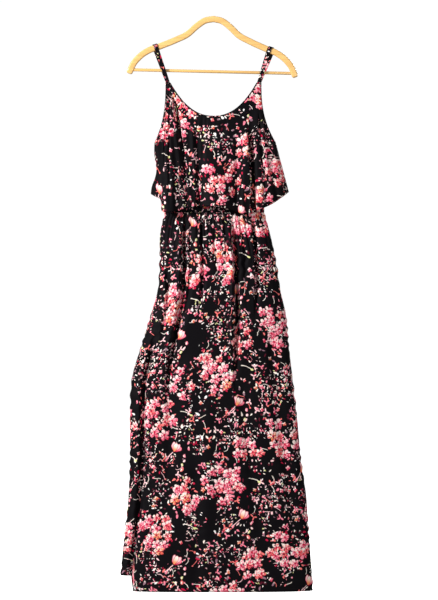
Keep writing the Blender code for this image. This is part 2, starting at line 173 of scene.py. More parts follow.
def deselect() -> None:
    """Leaves nothing selected and nothing active."""
    for other in bpy.context.selected_objects:
        other.select_set(False)
    bpy.context.view_layer.objects.active = None


def apply_modifiers(piece: bpy.types.Object) -> None:
    """Applies every modifier of a piece in order.

    Args:
        piece: The piece.
    """
    deselect()
    piece.select_set(True)
    bpy.context.view_layer.objects.active = piece
    for modifier in list(piece.modifiers):
        bpy.ops.object.modifier_apply(modifier=modifier.name)
    piece.select_set(False)


def pick(piece: bpy.types.Object, kind: str, wanted: Callable[[object], bool]) -> None:
    """Selects the edges or faces that a test wants, and nothing else.

    Args:
        piece: The piece, in edit mode.
        kind: EDGE or FACE.
        wanted: The test.
    """
    bpy.ops.mesh.select_mode(type=kind)
    bpy.ops.mesh.select_all(action="DESELECT")
    shell = bmesh.from_edit_mesh(piece.data)
    for element in shell.edges if kind == "EDGE" else shell.faces:
        element.select_set(wanted(element))
    bmesh.update_edit_mesh(piece.data)


@dataclass
class Cloth:
    """A grid of points, rows from top to bottom and columns from left to right, with its flat pattern.

    Attributes:
        name: The piece's name.
        points: The wall's outer points.
        flat: Each point's place on the flat cloth, in metres.
        wall: The cloth's thickness.
        inwards: Whether the wall lies wholly behind its points.
        jump: How far each face's print is moved across, because of cloth hidden in folds.
    """

    name: str
    points: Points
    flat: Points
    wall: float = 0.0008
    inwards: bool = True
    jump: float | Points = 0.0

    def build(self, finish: bpy.types.Material) -> bpy.types.Object:
        """Makes the sheet's mesh with a flat UV map and gives it its thickness.

        Args:
            finish: The cloth's material.

        Returns:
            The finished piece.
        """
        rows, columns = self.points.shape[:2]
        index = np.arange(rows * columns).reshape(rows, columns)
        corners = [index[1:, :-1], index[1:, 1:], index[:-1, 1:], index[:-1, :-1]]
        faces = np.stack(corners, axis=-1).reshape(-1, 4)
        mesh = bpy.data.meshes.new(self.name)
        mesh.from_pydata(self.points.reshape(-1, 3), [], faces.tolist())
        mesh.shade_smooth()
        layer = mesh.uv_layers.new(name="flat_cloth")
        flat = self.flat.reshape(-1, 2)[faces.reshape(-1)]
        flat[:, 0] += np.repeat(np.broadcast_to(self.jump, (rows - 1, columns - 1)).ravel(), 4)
        layer.data.foreach_set("uv", flat.astype(np.float32).ravel())
        mesh.materials.append(finish)
        piece = bpy.data.objects.new(self.name, mesh)
        bpy.context.scene.collection.objects.link(piece)
        wall = piece.modifiers.new("wall", "SOLIDIFY")
        wall.thickness = self.wall
        wall.offset = -1 if self.inwards else 0
        apply_modifiers(piece)
        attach(piece, BODY)
        return piece


# Finishes


@dataclass(frozen=True)
class Tones:
    """The print's inks and its ground, as linear colours."""

    ground: tuple = (0.0028, 0.0020, 0.0031)
    crimson: tuple = (0.560, 0.0080, 0.0520)
    wine: tuple = (0.100, 0.0070, 0.0200)
    coral: tuple = (0.930, 0.1900, 0.1750)
    pink: tuple = (0.965, 0.2450, 0.3350)
    blush: tuple = (1.000, 0.6200, 0.6350)
    cream: tuple = (1.000, 0.8800, 0.7800)
    white: tuple = (1.000, 0.9600, 0.9400)
    orange: tuple = (0.920, 0.3200, 0.1200)
    lime: tuple = (0.750, 0.7400, 0.3200)
    mauve: tuple = (0.290, 0.1500, 0.1950)


class Number:
    """A number in a node tree. Reckoning with it adds maths nodes."""

    def __init__(self, graph: "Graph", socket: bpy.types.NodeSocket) -> None:
        """Takes a socket as a number.

        Args:
            graph: The tree that it is in.
            socket: The socket.
        """
        self.graph, self.socket = graph, socket

    def __add__(self, other: object) -> "Number":
        """Returns the sum."""
        return self.graph.math("ADD", self, other)

    def __sub__(self, other: object) -> "Number":
        """Returns this number less another."""
        return self.graph.math("SUBTRACT", self, other)

    def __rsub__(self, other: object) -> "Number":
        """Returns another number less this one."""
        return self.graph.math("SUBTRACT", other, self)

    def __mul__(self, other: object) -> "Number":
        """Returns the product."""
        return self.graph.math("MULTIPLY", self, other)

    def __truediv__(self, other: object) -> "Number":
        """Returns this number divided by another."""
        return self.graph.math("DIVIDE", self, other)

    def __abs__(self) -> "Number":
        """Returns the number without its sign."""
        return self.graph.math("ABSOLUTE", self)


class Graph:
    """Shorthand for building a node tree."""

    def __init__(self, tree: bpy.types.NodeTree) -> None:
        """Starts on a tree.

        Args:
            tree: The tree to build in.
        """
        self.tree = tree

    def add(self, kind: str, values: dict | None = None, **settings: object) -> bpy.types.Node:
        """Adds a node.

        Args:
            kind: Its kind.
            values: What goes into its inputs, by name.
            settings: Its settings.

        Returns:
            The node.
        """
        node = self.tree.nodes.new(kind)
        for name, value in settings.items():
            setattr(node, name, value)
        self.fill(node, values or {})
        return node

    def fill(self, node: bpy.types.Node, values: dict) -> None:
        """Sets or joins a node's inputs by name."""
        for name, value in values.items():
            self.link(value, node.inputs[name])

    def link(self, source: object, target: bpy.types.NodeSocket) -> None:
        """Joins a socket or a number to an input, or sets the input when source is a plain value.

        Args:
            source: What goes in.
            target: The input.
        """
        source = source.socket if isinstance(source, Number) else source
        if isinstance(source, bpy.types.NodeSocket):
            self.tree.links.new(source, target)
        else:
            target.default_value = source

    def reckoned(self, kind: str, operation: str, values: Sequence) -> bpy.types.Node:
        """Returns a maths node of a kind with its values in order.

        Args:
            kind: The node's kind.
            operation: What it works out.
            values: Its values.
        """
        node = self.add(kind, operation=operation)
        for value, target in zip(values, node.inputs):
            self.link(value, target)
        return node

    def math(self, operation: str, *values: object) -> Number:
        """Returns the result of a maths node."""
        return Number(self, self.reckoned("ShaderNodeMath", operation, values).outputs[0])

    def vector(self, operation: str, *values: object) -> bpy.types.NodeSocket:
        """Returns the vector that a vector maths node makes."""
        return self.reckoned("ShaderNodeVectorMath", operation, values).outputs[0]

    def measure(self, operation: str, *values: object) -> Number:
        """Returns the number that a vector maths node makes."""
        return Number(self, self.reckoned("ShaderNodeVectorMath", operation, values).outputs["Value"])

    def scaled(self, vector: bpy.types.NodeSocket, by: float) -> bpy.types.NodeSocket:
        """Returns a vector times a number.

        Args:
            vector: The vector.
            by: The number.
        """
        node = self.reckoned("ShaderNodeVectorMath", "SCALE", (vector,))
        self.fill(node, {"Scale": by})
        return node.outputs[0]

    def split(self, vector: bpy.types.NodeSocket) -> Sequence[Number]:
        """Returns a vector's or a colour's three parts."""
        node = self.add("ShaderNodeSeparateXYZ", {"Vector": vector})
        return [Number(self, socket) for socket in node.outputs]

    def joined(self, x: object, y: object) -> bpy.types.NodeSocket:
        """Returns a level vector of two numbers."""
        return self.add("ShaderNodeCombineXYZ", {"X": x, "Y": y}).outputs[0]

    def ramp(self, value: object, low: float, high: float) -> Number:
        """Returns 0 at low, 1 at high, and a smooth rise between.

        Args:
            value: What is read.
            low: Where it starts.
            high: Where it is full.
        """
        ends = {"Value": value, "From Min": low, "From Max": high}
        node = self.add("ShaderNodeMapRange", ends, interpolation_type="SMOOTHSTEP")
        return Number(self, node.outputs["Result"])

    def noise(self, place: bpy.types.NodeSocket, scale: float, detail: float = 2.0) -> Number:
        """Returns a flat noise around 0.5."""
        values = {"Vector": place, "Scale": scale, "Detail": detail}
        return Number(self, self.add("ShaderNodeTexNoise", values, noise_dimensions="2D").outputs["Fac"])

    def mix(self, share: object, first: object, second: object) -> bpy.types.NodeSocket:
        """Returns a blend of two colours.

        Args:
            share: How much of the second there is.
            first: A colour.
            second: The other.
        """
        node = self.add("ShaderNodeMix", data_type="RGBA")
        for value, name in ((share, "Factor_Float"), (first, "A_Color"), (second, "B_Color")):
            target = next(s for s in node.inputs if s.identifier == name)
            self.link((*value, 1.0) if isinstance(value, tuple) else value, target)
        return next(s for s in node.outputs if s.identifier == "Result_Color")

    def steps(self, value: object, colours: Sequence[tuple]) -> bpy.types.NodeSocket:
        """Returns one of several colours, chosen by a value from 0 to 1 in equal steps.

        Args:
            value: The value.
            colours: The colours.
        """
        node = self.add("ShaderNodeValToRGB")
        node.color_ramp.interpolation = "CONSTANT"
        stops = node.color_ramp.elements
        while len(stops) < len(colours):
            stops.new(0.5)
        for i, (stop, colour) in enumerate(zip(stops, colours)):
            stop.position = i / len(colours)
            stop.color = (*colour, 1.0)
        self.link(value, node.inputs[0])
        return node.outputs[0]


class Nodes(Graph):
    """The node tree of one material, with its shader."""

    def __init__(self, name: str) -> None:
        """Makes a material that holds a shader alone.

        Args:
            name: The material's name.
        """
        self.material = bpy.data.materials.new(name)
        self.material.use_nodes = True
        super().__init__(self.material.node_tree)
        self.tree.nodes.clear()
        self.shader = self.add("ShaderNodeBsdfPrincipled")
        self.add("ShaderNodeOutputMaterial", {"Surface": self.shader.outputs[0]})


@dataclass(frozen=True)
class Repeat:
    """One repeat of the print, in metres. Its origin is the middle of the larger blossom cluster.

    Attributes:
        width: From one column of the repeat to the next.
        height: From one repeat to the next in a column.
        rise: How much higher each column lies than the one on its left.
        left: Where the repeat starts.
        blossoms: Rounds filled with blossom, each across, up, radius.
        strewn: Rounds thick with small petals.
        bare: Rounds of bare ground.
    """

    width: float = 0.176
    height: float = 0.291
    rise: float = 0.118
    left: float = -0.064
    blossoms: Table = table(
        "across up radius",
        (-0.012, 0.010, 0.034),
        (0.022, 0.004, 0.029),
        (0.004, -0.026, 0.026),
        (-0.030, 0.030, 0.018),
        (0.034, 0.034, 0.013),
        (0.076, 0.104, 0.026),
        (0.060, 0.080, 0.018),
        (0.092, 0.078, 0.019),
        (0.080, 0.058, 0.011),
    )
    strewn: Table = table(
        "across up radius",
        (-0.040, 0.126, 0.062),
        (0.136, -0.008, 0.058),
        (0.020, -0.120, 0.040),
    )
    bare: Table = table(
        "across up radius",
        (0.070, 0.018, 0.031),
        (0.030, -0.076, 0.023),
        (-0.034, 0.074, 0.017),
        (0.092, -0.112, 0.022),
    )


@dataclass
class Motif:
    """One kind of printed shape, scattered a cell at a time.

    Attributes:
        cell: The cell's width on the cloth.
        shift: Moves the scatter so that no two kinds share their cells.
        near: The cluster density that a cell's middle needs, from low to high.
        keep: The share of such cells that hold the shape.
        tones: The colours that it takes.
        jitter: How far from the cell's middle the shape may lie, up to 1.
    """

    cell: float
    shift: tuple
    near: tuple
    keep: float
    tones: Sequence[tuple]
    jitter: float = 0.8


class PrintChart(Graph):
    """A node group that says, for a place on the flat cloth, what the print's repeat puts there.

    Attributes:
        rim: How finely and how far the blossom clusters' rims stray.
        thicker: From how deep to how deep a strewn round sets in, and what it adds.
        barer: The same for a bare round, and what it takes away.
        patches: How finely and how strongly the rest of the print is uneven.
    """

    rim = (46.0, 0.026)
    thicker = (-0.012, 0.024, 0.11)
    barer = (-0.006, 0.010, 0.12)
    patches = (17.0, 0.62)

    def __init__(self, repeat: Repeat) -> None:
        """Builds the group.

        Args:
            repeat: Where the print's rounds lie.
        """
        super().__init__(bpy.data.node_groups.new("print_chart", "ShaderNodeTree"))
        for way, kind, names in (
            ("INPUT", "NodeSocketVector", ("Place",)),
            ("INPUT", "NodeSocketFloat", ("Shift",)),
            ("OUTPUT", "NodeSocketFloat", ("Bloom", "Strewn", "Across", "Up")),
        ):
            for name in names:
                self.tree.interface.new_socket(name=name, in_out=way, socket_type=kind)
        given = self.add("NodeGroupInput")
        at, shift = given.outputs["Place"], given.outputs["Shift"]
        local = self.in_repeat(repeat, at)
        bloom = self.within(local, repeat.blossoms) + (self.noise(at, self.rim[0]) - 0.5) * self.rim[1]
        thick, bare = (
            self.ramp(self.within(local, rounds), low, high) * strong
            for rounds, (low, high, strong) in ((repeat.strewn, self.thicker), (repeat.bare, self.barer))
        )
        fine, strong = self.patches
        uneven = self.noise(self.vector("ADD", at, self.joined(shift, shift)), fine, 1.0)
        strewn = uneven * strong + 0.5 * (1 - strong) + thick - bare
        self.add("NodeGroupOutput", {"Bloom": bloom, "Strewn": strewn, "Across": local[0], "Up": local[1]})

    def in_repeat(self, repeat: Repeat, at: bpy.types.NodeSocket) -> tuple:
        """Returns a place's across and up within its repeat.

        Args:
            repeat: The print's repeat.
            at: The place on the flat cloth.
        """
        across, up, _ = self.split(at)
        lane = self.math("FLOOR", (across - repeat.left) / repeat.width)
        half = repeat.height / 2
        return across - lane * repeat.width, self.math("WRAP", up - lane * repeat.rise, half, -half)

    def within(self, local: tuple, rounds: Table) -> Number:
        """Returns how deep inside the nearest of some rounds a place lies, in metres.

        Args:
            local: The place's across and up within the repeat.
            rounds: The rounds, each across, up, radius.
        """
        depth: object = -1.0
        for disc in rounds:
            away = self.joined(local[0] - disc["across"], local[1] - disc["up"])
            depth = self.math("MAXIMUM", depth, disc["radius"] - self.measure("LENGTH", away))
        return depth


class FloralPrint:
    """A dense scatter of small pink blossoms, petals and sprigs on a blue-black ground.

    Attributes:
        tones: The inks.
        wander: How finely and how far the shapes stray from their true outlines.
        thinned: How much more thinly the field is strewn than the chart says.
        binding_thinned: The same for a rolled binding, whose clusters are smaller too.
        field: From how far below to how far above its share a kind of shape fills the field.
        light: Which way, across and up, the painted light falls on the flowers.
        thread: From one thread to the next.
    """

    tones = Tones()
    wander = (70.0, 0.0042)
    thinned = 0.002
    binding_thinned = 0.022
    field = (0.06, 0.14)
    light = (-0.62, 0.78)
    thread = 0.00042

    def __init__(self, name: str, weave: Weave, chart: PrintChart) -> None:
        """Starts the material.

        Args:
            name: The material's name.
            weave: The cloth's structure.
            chart: Where the print's rounds lie.
        """
        self.chart, self.weave = chart, weave
        self.nodes = n = Nodes(name)
        self.sparser = 0.0 if weave is Weave.CREPE else self.binding_thinned
        self.plain = n.add("ShaderNodeUVMap", uv_map="flat_cloth").outputs[0]
        values = {"Vector": self.plain, "Scale": self.wander[0], "Detail": 2.0}
        stray = n.add("ShaderNodeTexNoise", values, noise_dimensions="2D").outputs["Color"]
        stray = n.scaled(n.vector("SUBTRACT", stray, (0.5, 0.5, 0.5)), self.wander[1])
        self.place = n.vector("ADD", self.plain, stray)
        self.colour: object = self.tones.ground

    def scatter(self, motif: Motif, field_share: float | None = None) -> tuple:
        """Spreads cells over the cloth and says which of them hold a shape.

        Args:
            motif: The kind of shape.
            field_share: How thickly the ground must be strewn, or None where that doesn't matter.

        Returns:
            The place inside the cell in metres, turned and unturned, three random numbers, and 1
            where the shape is.
        """
        n, shift = self.nodes, (*motif.shift, 0.0)
        moved = n.vector("ADD", n.scaled(self.place, 1 / motif.cell), shift)
        values = {"Vector": moved, "Scale": 1.0, "Randomness": motif.jitter}
        cells = n.add("ShaderNodeTexVoronoi", values, voronoi_dimensions="2D", feature="F1")
        middle = cells.outputs["Position"]
        away = n.scaled(n.vector("SUBTRACT", moved, middle), motif.cell)
        first, second, third = n.split(cells.outputs["Color"])
        values = {"Vector": away, "Angle": first * (2 * math.pi)}
        turned = n.add("ShaderNodeVectorRotate", values, rotation_type="Z_AXIS").outputs[0]
        chart = self.charted(n.scaled(n.vector("SUBTRACT", middle, shift), motif.cell), motif.shift[0] * 0.01)
        bloom = chart["Bloom"] - self.sparser
        low, high = motif.near
        there = n.math("GREATER_THAN", bloom, low) * n.math("LESS_THAN", bloom, high)
        keep: object = motif.keep
        if field_share is not None:
            strewn = chart["Strewn"] - (3 * self.sparser + self.thinned)
            below, above = self.field
            keep = n.ramp(strewn, field_share - below, field_share + above) * motif.keep
        there = there * n.math("LESS_THAN", second, keep)
        return turned, away, (first, second, third), there

    def charted(self, place: bpy.types.NodeSocket, shift: float = 0.0) -> dict:
        """Asks the chart about a place.

        Args:
            place: The place on the flat cloth.
            shift: Moves the uneven patches, so that no two kinds of shape share them.

        Returns:
            Its answers by name.
        """
        values = {"Place": place, "Shift": shift}
        chart = self.nodes.add("ShaderNodeGroup", values, node_tree=self.chart.tree)
        return {socket.name: Number(self.nodes, socket) for socket in chart.outputs}

    def in_place(self, across: float, up: float, turn: float) -> tuple:
        """Returns a place's along and aside from one fixed point of the repeat.

        Args:
            across: The point's distance across.
            up: Its distance up.
            turn: Which way along lies, in radians from across.
        """
        chart = self.charted(self.place)
        x, y = chart["Across"] - across, chart["Up"] - up
        c, s = math.cos(turn), math.sin(turn)
        return x * c + y * s, y * c - x * s

    def oval(self, at: tuple, middle: tuple, radii: tuple) -> Number:
        """Returns 1 inside an oval, along and aside, and 0 outside it.

        Args:
            at: The place.
            middle: The oval's middle.
            radii: Its half sizes.
        """
        n = self.nodes
        along, aside = ((at[k] - middle[k]) / radii[k] for k in range(2))
        return n.ramp(n.measure("LENGTH", n.joined(along, aside)), 1.06, 0.94)

    def stroke(self, at: tuple, start: float, end: float, bend: float, width: float) -> Number:
        """Returns 1 on a thin bent line, along from start to end.

        Args:
            at: The place, along and aside.
            start: Where the line starts.
            end: Where it ends.
            bend: How strongly it bends.
            width: Its thickness.
        """
        n, (along, aside), half = self.nodes, at, (end - start) / 2
        on = n.ramp(abs(aside - along * along * bend), width * 0.7, width * 0.3)
        return on * n.ramp(abs(along - (start + end) / 2), half, half - width)

    def half_open_flower(self, across: float, up: float, turn: float) -> None:
        """Prints the single half-open flower on its stem, once in each repeat.

        Args:
            across: Where it lies across the repeat.
            up: Where it lies up the repeat.
            turn: Which way it points, in radians from across.
        """
        n, t = self.nodes, self.tones
        at = self.in_place(across, up, turn)
        self.lay(self.stroke(at, -0.034, -0.004, 5.0, 0.0020), t.blush)
        for middle, radii, ink in (
            ((-0.032, 0.0095), (0.0060, 0.0024), t.coral),
            ((-0.031, 0.0020), (0.0050, 0.0020), t.pink),
            ((-0.018, -0.0034), (0.0050, 0.0016), t.blush),
        ):
            self.lay(self.oval(at, middle, radii), ink)
        for fan, ahead, wide, base, tip in (
            (-0.58, 0.0100, 0.0052, t.crimson, t.pink),
            (0.62, 0.0104, 0.0050, t.pink, t.blush),
            (-0.20, 0.0118, 0.0056, t.coral, t.blush),
            (0.22, 0.0096, 0.0050, t.orange, t.cream),
        ):
            leaf = self.in_place(across, up, turn + fan)
            ink = n.mix(n.ramp(leaf[0], 0.001, 0.017), base, tip)
            self.lay(self.oval(leaf, (ahead, 0.0), (0.0126, wide + 0.0010)), t.crimson)
            self.lay(self.oval(leaf, (ahead, 0.0), (0.0118, wide)), ink)

    def tailed_bud(self, across: float, up: float, turn: float) -> None:
        """Prints a pale wavy stem that ends in a green bud, once in each repeat.

        Args:
            across: Where it lies across the repeat.
            up: Where it lies up the repeat.
            turn: Which way it points, in radians from across.
        """
        at = self.in_place(across, up, turn)
        self.lay(self.stroke(at, -0.016, 0.014, -12.0, 0.0017), self.tones.cream)
        self.lay(self.oval(at, (0.015, -0.003), (0.0042, 0.0028)), self.tones.lime)

    def chain(self, across: float, up: float, turn: float) -> None:
        """Prints a little row of small flowers, each with a pale eye, once in each repeat.

        Args:
            across: Where it lies across the repeat.
            up: Where it lies up the repeat.
            turn: Which way it points, in radians from across.
        """
        t = self.tones
        at = self.in_place(across, up, turn)
        for along, aside, size, ink in (
            (0.019, 0.0014, 0.0046, t.pink),
            (0.006, -0.0016, 0.0036, t.blush),
            (-0.006, 0.0012, 0.0040, t.lime),
            (-0.018, -0.0008, 0.0050, t.coral),
        ):
            self.lay(self.oval(at, (along, aside), (size, size * 0.8)), ink)
            eye = (along - size * 0.2, aside + size * 0.3)
            self.lay(self.oval(at, eye, (size * 0.55, size * 0.35)), t.cream)

    def lay(self, share: Number, ink: object) -> None:
        """Prints an ink over what is there already."""
        self.colour = self.nodes.mix(share, self.colour, ink)

    def blossoms(
        self, motif: Motif, radius: float, petals: int = 5, field_share: float | None = None
    ) -> None:
        """Prints open flowers: pale petals round a dark eye, lit from the upper left.

        Args:
            motif: Where they lie.
            radius: A flower's radius.
            petals: How many petals each has.
            field_share: How thickly the ground must be strewn for them.
        """
        n, t = self.nodes, self.tones
        local, away, (_, _, third), there = self.scatter(motif, field_share)
        reach = n.measure("LENGTH", local) / radius
        lobe = self.lobes(local, petals)
        inside = (lobe * 0.48 + 0.54) * (third * 0.30 + 0.78) - reach
        wash = (n.noise(self.plain, 260.0, 1.0) - 0.5) * 2.6
        lit = n.measure("DOT_PRODUCT", away, (self.light[0] / radius, self.light[1] / radius, 0.0)) + wash
        petal = n.steps(third, motif.tones)
        for start, full, strong, ink in (
            (0.00, 0.30, 0.92, t.blush),
            (0.42, 0.66, 0.92, t.cream),
            (-0.30, -0.60, 0.90, t.crimson),
        ):
            petal = n.mix(n.ramp(lit, start, full) * strong, petal, ink)
        gap = n.ramp(lobe, 0.42, 0.08) * n.ramp(reach, 0.10, 0.40)
        petal = n.mix(gap * 0.92, petal, t.ground)
        petal = n.mix(n.ramp(reach, 0.30, 0.16), petal, t.crimson)
        self.lay(n.ramp(inside, -0.02, 0.06) * there, petal)

    def lobes(self, local: bpy.types.NodeSocket, count: int) -> Number:
        """Returns 1 along the middle of each lobe round a shape's centre and 0 between two lobes.

        Args:
            local: The place from the shape's centre.
            count: How many lobes there are.
        """
        n = self.nodes
        x, y, _ = n.split(local)
        return abs(n.math("COSINE", n.math("ARCTAN2", y, x) * (count / 2)))

    def twigs(self, motif: Motif, radius: float, arms: int, field_share: float) -> None:
        """Prints little branched twigs, like crossed strokes.

        Args:
            motif: Where they lie.
            radius: How far their arms reach.
            arms: How many arms meet.
            field_share: How thickly the ground must be strewn for them.
        """
        n = self.nodes
        local, _, (_, _, third), there = self.scatter(motif, field_share)
        thin = n.math("POWER", self.lobes(local, arms), 4.0)
        inside = thin * 0.85 + 0.15 - n.measure("LENGTH", local) / radius
        self.lay(n.ramp(inside, -0.04, 0.10) * there, n.steps(third, motif.tones))

    def petals(self, motif: Motif, length: float, width: float, field_share: float | None = None) -> None:
        """Prints single petals and buds, each a drop that is paler at one end.

        Args:
            motif: Where they lie.
            length: A petal's length.
            width: Its widest.
            field_share: How thickly the ground must be strewn for them.
        """
        n = self.nodes
        local, _, (first, _, third), there = self.scatter(motif, field_share)
        x, y, _ = n.split(local)
        along = x / (length / 2)
        across = y * (along * 0.35 + 1.0) / (width / 2)
        inside = third * 0.6 + 0.62 - n.measure("LENGTH", n.joined(along, across))
        ink = n.steps(n.math("FRACT", (third + first) * 7.31), motif.tones)
        end = n.ramp(along, 0.0, 0.7) * n.ramp(first, 0.35, 0.6)
        self.lay(n.ramp(inside, -0.06, 0.16) * there, n.mix(end * 0.7, ink, self.tones.cream))

    def sprigs(self, motif: Motif, length: float, width: float, field_share: float) -> None:
        """Prints thin bent stems with a bud at one end.

        Args:
            motif: Where they lie.
            length: A stem's length.
            width: Its thickness.
            field_share: How thickly the ground must be strewn for them.
        """
        n, t = self.nodes, self.tones
        local, _, (first, _, third), there = self.scatter(motif, field_share)
        x, y, _ = n.split(local)
        off = abs(y - x * x * ((first - 0.5) * 95.0))
        stem = n.ramp(off, width * 0.75, width * 0.3) * n.ramp(abs(x), length / 2, length * 0.44)
        self.lay(stem * there, n.steps(third, motif.tones))
        bud = n.measure("LENGTH", n.vector("SUBTRACT", local, (length * 0.42, 0.0, 0.0)))
        ink = n.mix(n.ramp(first, 0.4, 0.5), t.coral, t.pink)
        self.lay(n.ramp(bud, width * 2.2, width * 1.5) * there, ink)

    def finish(self) -> bpy.types.Material:
        """Sets the cloth's gloss, sheen and thread relief and returns the material."""
        n = self.nodes
        across, up, _ = n.split(self.plain)
        warp, weft = (n.math("SINE", along * (2 * math.pi / self.thread)) for along in (across, up))
        threads = warp * weft if self.weave is Weave.CREPE else weft
        crumple = n.noise(self.plain, 900.0, 3.0)
        relief = threads * 0.00004 + crumple * 0.00022
        bump = n.add("ShaderNodeBump", {"Strength": 0.35, "Distance": 1.0, "Height": relief})
        n.fill(n.shader, {
            "Base Color": self.colour,
            "Roughness": 0.66,
            "Specular IOR Level": 0.07,
            "Sheen Weight": 0.018,
            "Sheen Roughness": 0.45,
            "Sheen Tint": (0.80, 0.84, 1.0, 1.0),
            "Normal": bump.outputs[0],
        })
        return n.material


def printed_cloth(name: str, weave: Weave, chart: PrintChart) -> bpy.types.Material:
    """Makes the dress cloth: the print is laid from its smallest marks to its blossoms.

    Args:
        name: The material's name.
        weave: The cloth's structure from close by.
        chart: Where the print's rounds lie.

    Returns:
        The material.
    """
    cloth = FloralPrint(name, weave, chart)
    t = cloth.tones
    everywhere, ground, edge, inside = (-1.0, 1.0), (-1.0, 0.004), (-0.014, 1.0), (0.000, 1.0)
    specks = (t.wine, t.blush, t.crimson, t.cream, t.mauve, t.pink, t.white, t.wine, t.blush, t.white)
    pale = (t.blush, t.cream, t.coral, t.cream)
    dabs = (t.blush, t.cream, t.pink, t.crimson, t.white, t.blush, t.coral, t.cream, t.lime, t.pink)
    for lay, cell, shift, near, keep, tones, *shape in (
        (cloth.petals, 0.0140, (3.1, 8.4), everywhere, 0.46, (t.wine, t.wine, t.mauve), 0.0110, 0.0050, 0.52),
        (cloth.petals, 0.0060, (5.7, 2.9), everywhere, 0.48, specks, 0.0054, 0.0020, 0.51),
        (cloth.petals, 0.0088, (5.3, 31.1), everywhere, 0.42, dabs, 0.0074, 0.0029, 0.51),
        (cloth.sprigs, 0.0270, (21.9, 7.7), ground, 0.60, pale, 0.0210, 0.0012, 0.47),
        (cloth.twigs, 0.0230, (12.6, 5.4), ground, 0.26, (t.coral, t.pink, t.blush), 0.0095, 3, 0.52),
        (cloth.petals, 0.0150, (14.2, 23.5), ground, 0.30, dabs[:5], 0.0100, 0.0046, 0.49),
        (cloth.blossoms, 0.0190, (8.8, 17.1), ground, 0.28, (t.coral, t.orange, t.pink), 0.0058, 4, 0.50),
        (cloth.petals, 0.0105, (9.6, 14.8), edge, 0.50, (t.coral, t.pink, t.crimson, t.wine), 0.0092, 0.0046),
    ):
        lay(Motif(cell, shift, near, keep, tones), *shape)
    cloth.blossoms(Motif(0.0240, (27.4, 3.3), inside, 0.90, (t.coral, t.pink, t.pink), 0.66), 0.0145)
    cloth.blossoms(
        Motif(0.0330, (2.2, 19.6), inside, 0.56, (t.pink, t.coral, t.orange, t.pink), 0.80), 0.0142
    )
    stamens = (t.cream, t.ground, t.white, t.ground, t.wine)
    cloth.petals(Motif(0.0120, (33.8, 12.1), inside, 0.46, stamens), 0.0086, 0.0026)
    cloth.half_open_flower(0.052, -0.084, 0.90)
    cloth.tailed_bud(0.090, 0.015, -0.35)
    cloth.chain(0.076, -0.116, 1.25)
    return cloth.finish()


@dataclass(frozen=True)
class Wood:
    """Pale golden wood under a clear coat.

    Attributes:
        name: The material's name.
        pale: Between the grain lines.
        dark: In the grain lines.
        aged: Where it has browned with age.
    """

    name: str = "wood"
    pale: tuple = (0.93, 0.580, 0.200)
    dark: tuple = (0.76, 0.420, 0.125)
    aged: tuple = (0.82, 0.470, 0.150)

    def material(self) -> bpy.types.Material:
        """Returns the wood's material, its grain across the hanger."""
        n = Nodes(self.name)
        place = n.add("ShaderNodeTexCoord").outputs["Object"]
        stretched = n.add("ShaderNodeMapping", {"Vector": place, "Scale": (6.0, 160.0, 210.0)}).outputs[0]
        values = {"Vector": stretched, "Scale": 1.0, "Detail": 6.0, "Distortion": 0.8}
        lines = n.ramp(n.add("ShaderNodeTexNoise", values).outputs["Fac"], 0.38, 0.66)
        broad = n.add("ShaderNodeTexNoise", {"Vector": place, "Scale": 14.0}).outputs["Fac"]
        toned = n.mix(lines * 0.7, self.pale, self.dark)
        bump = n.add("ShaderNodeBump", {"Strength": 0.25, "Distance": 0.0006, "Height": lines})
        n.fill(n.shader, {
            "Base Color": n.mix(n.ramp(broad, 0.4, 0.8) * 0.35, toned, self.aged),
            "Roughness": lines * 0.14 + 0.30,
            "Coat Weight": 0.45,
            "Coat Roughness": 0.16,
            "Normal": bump.outputs[0],
        })
        return n.material


# The dress


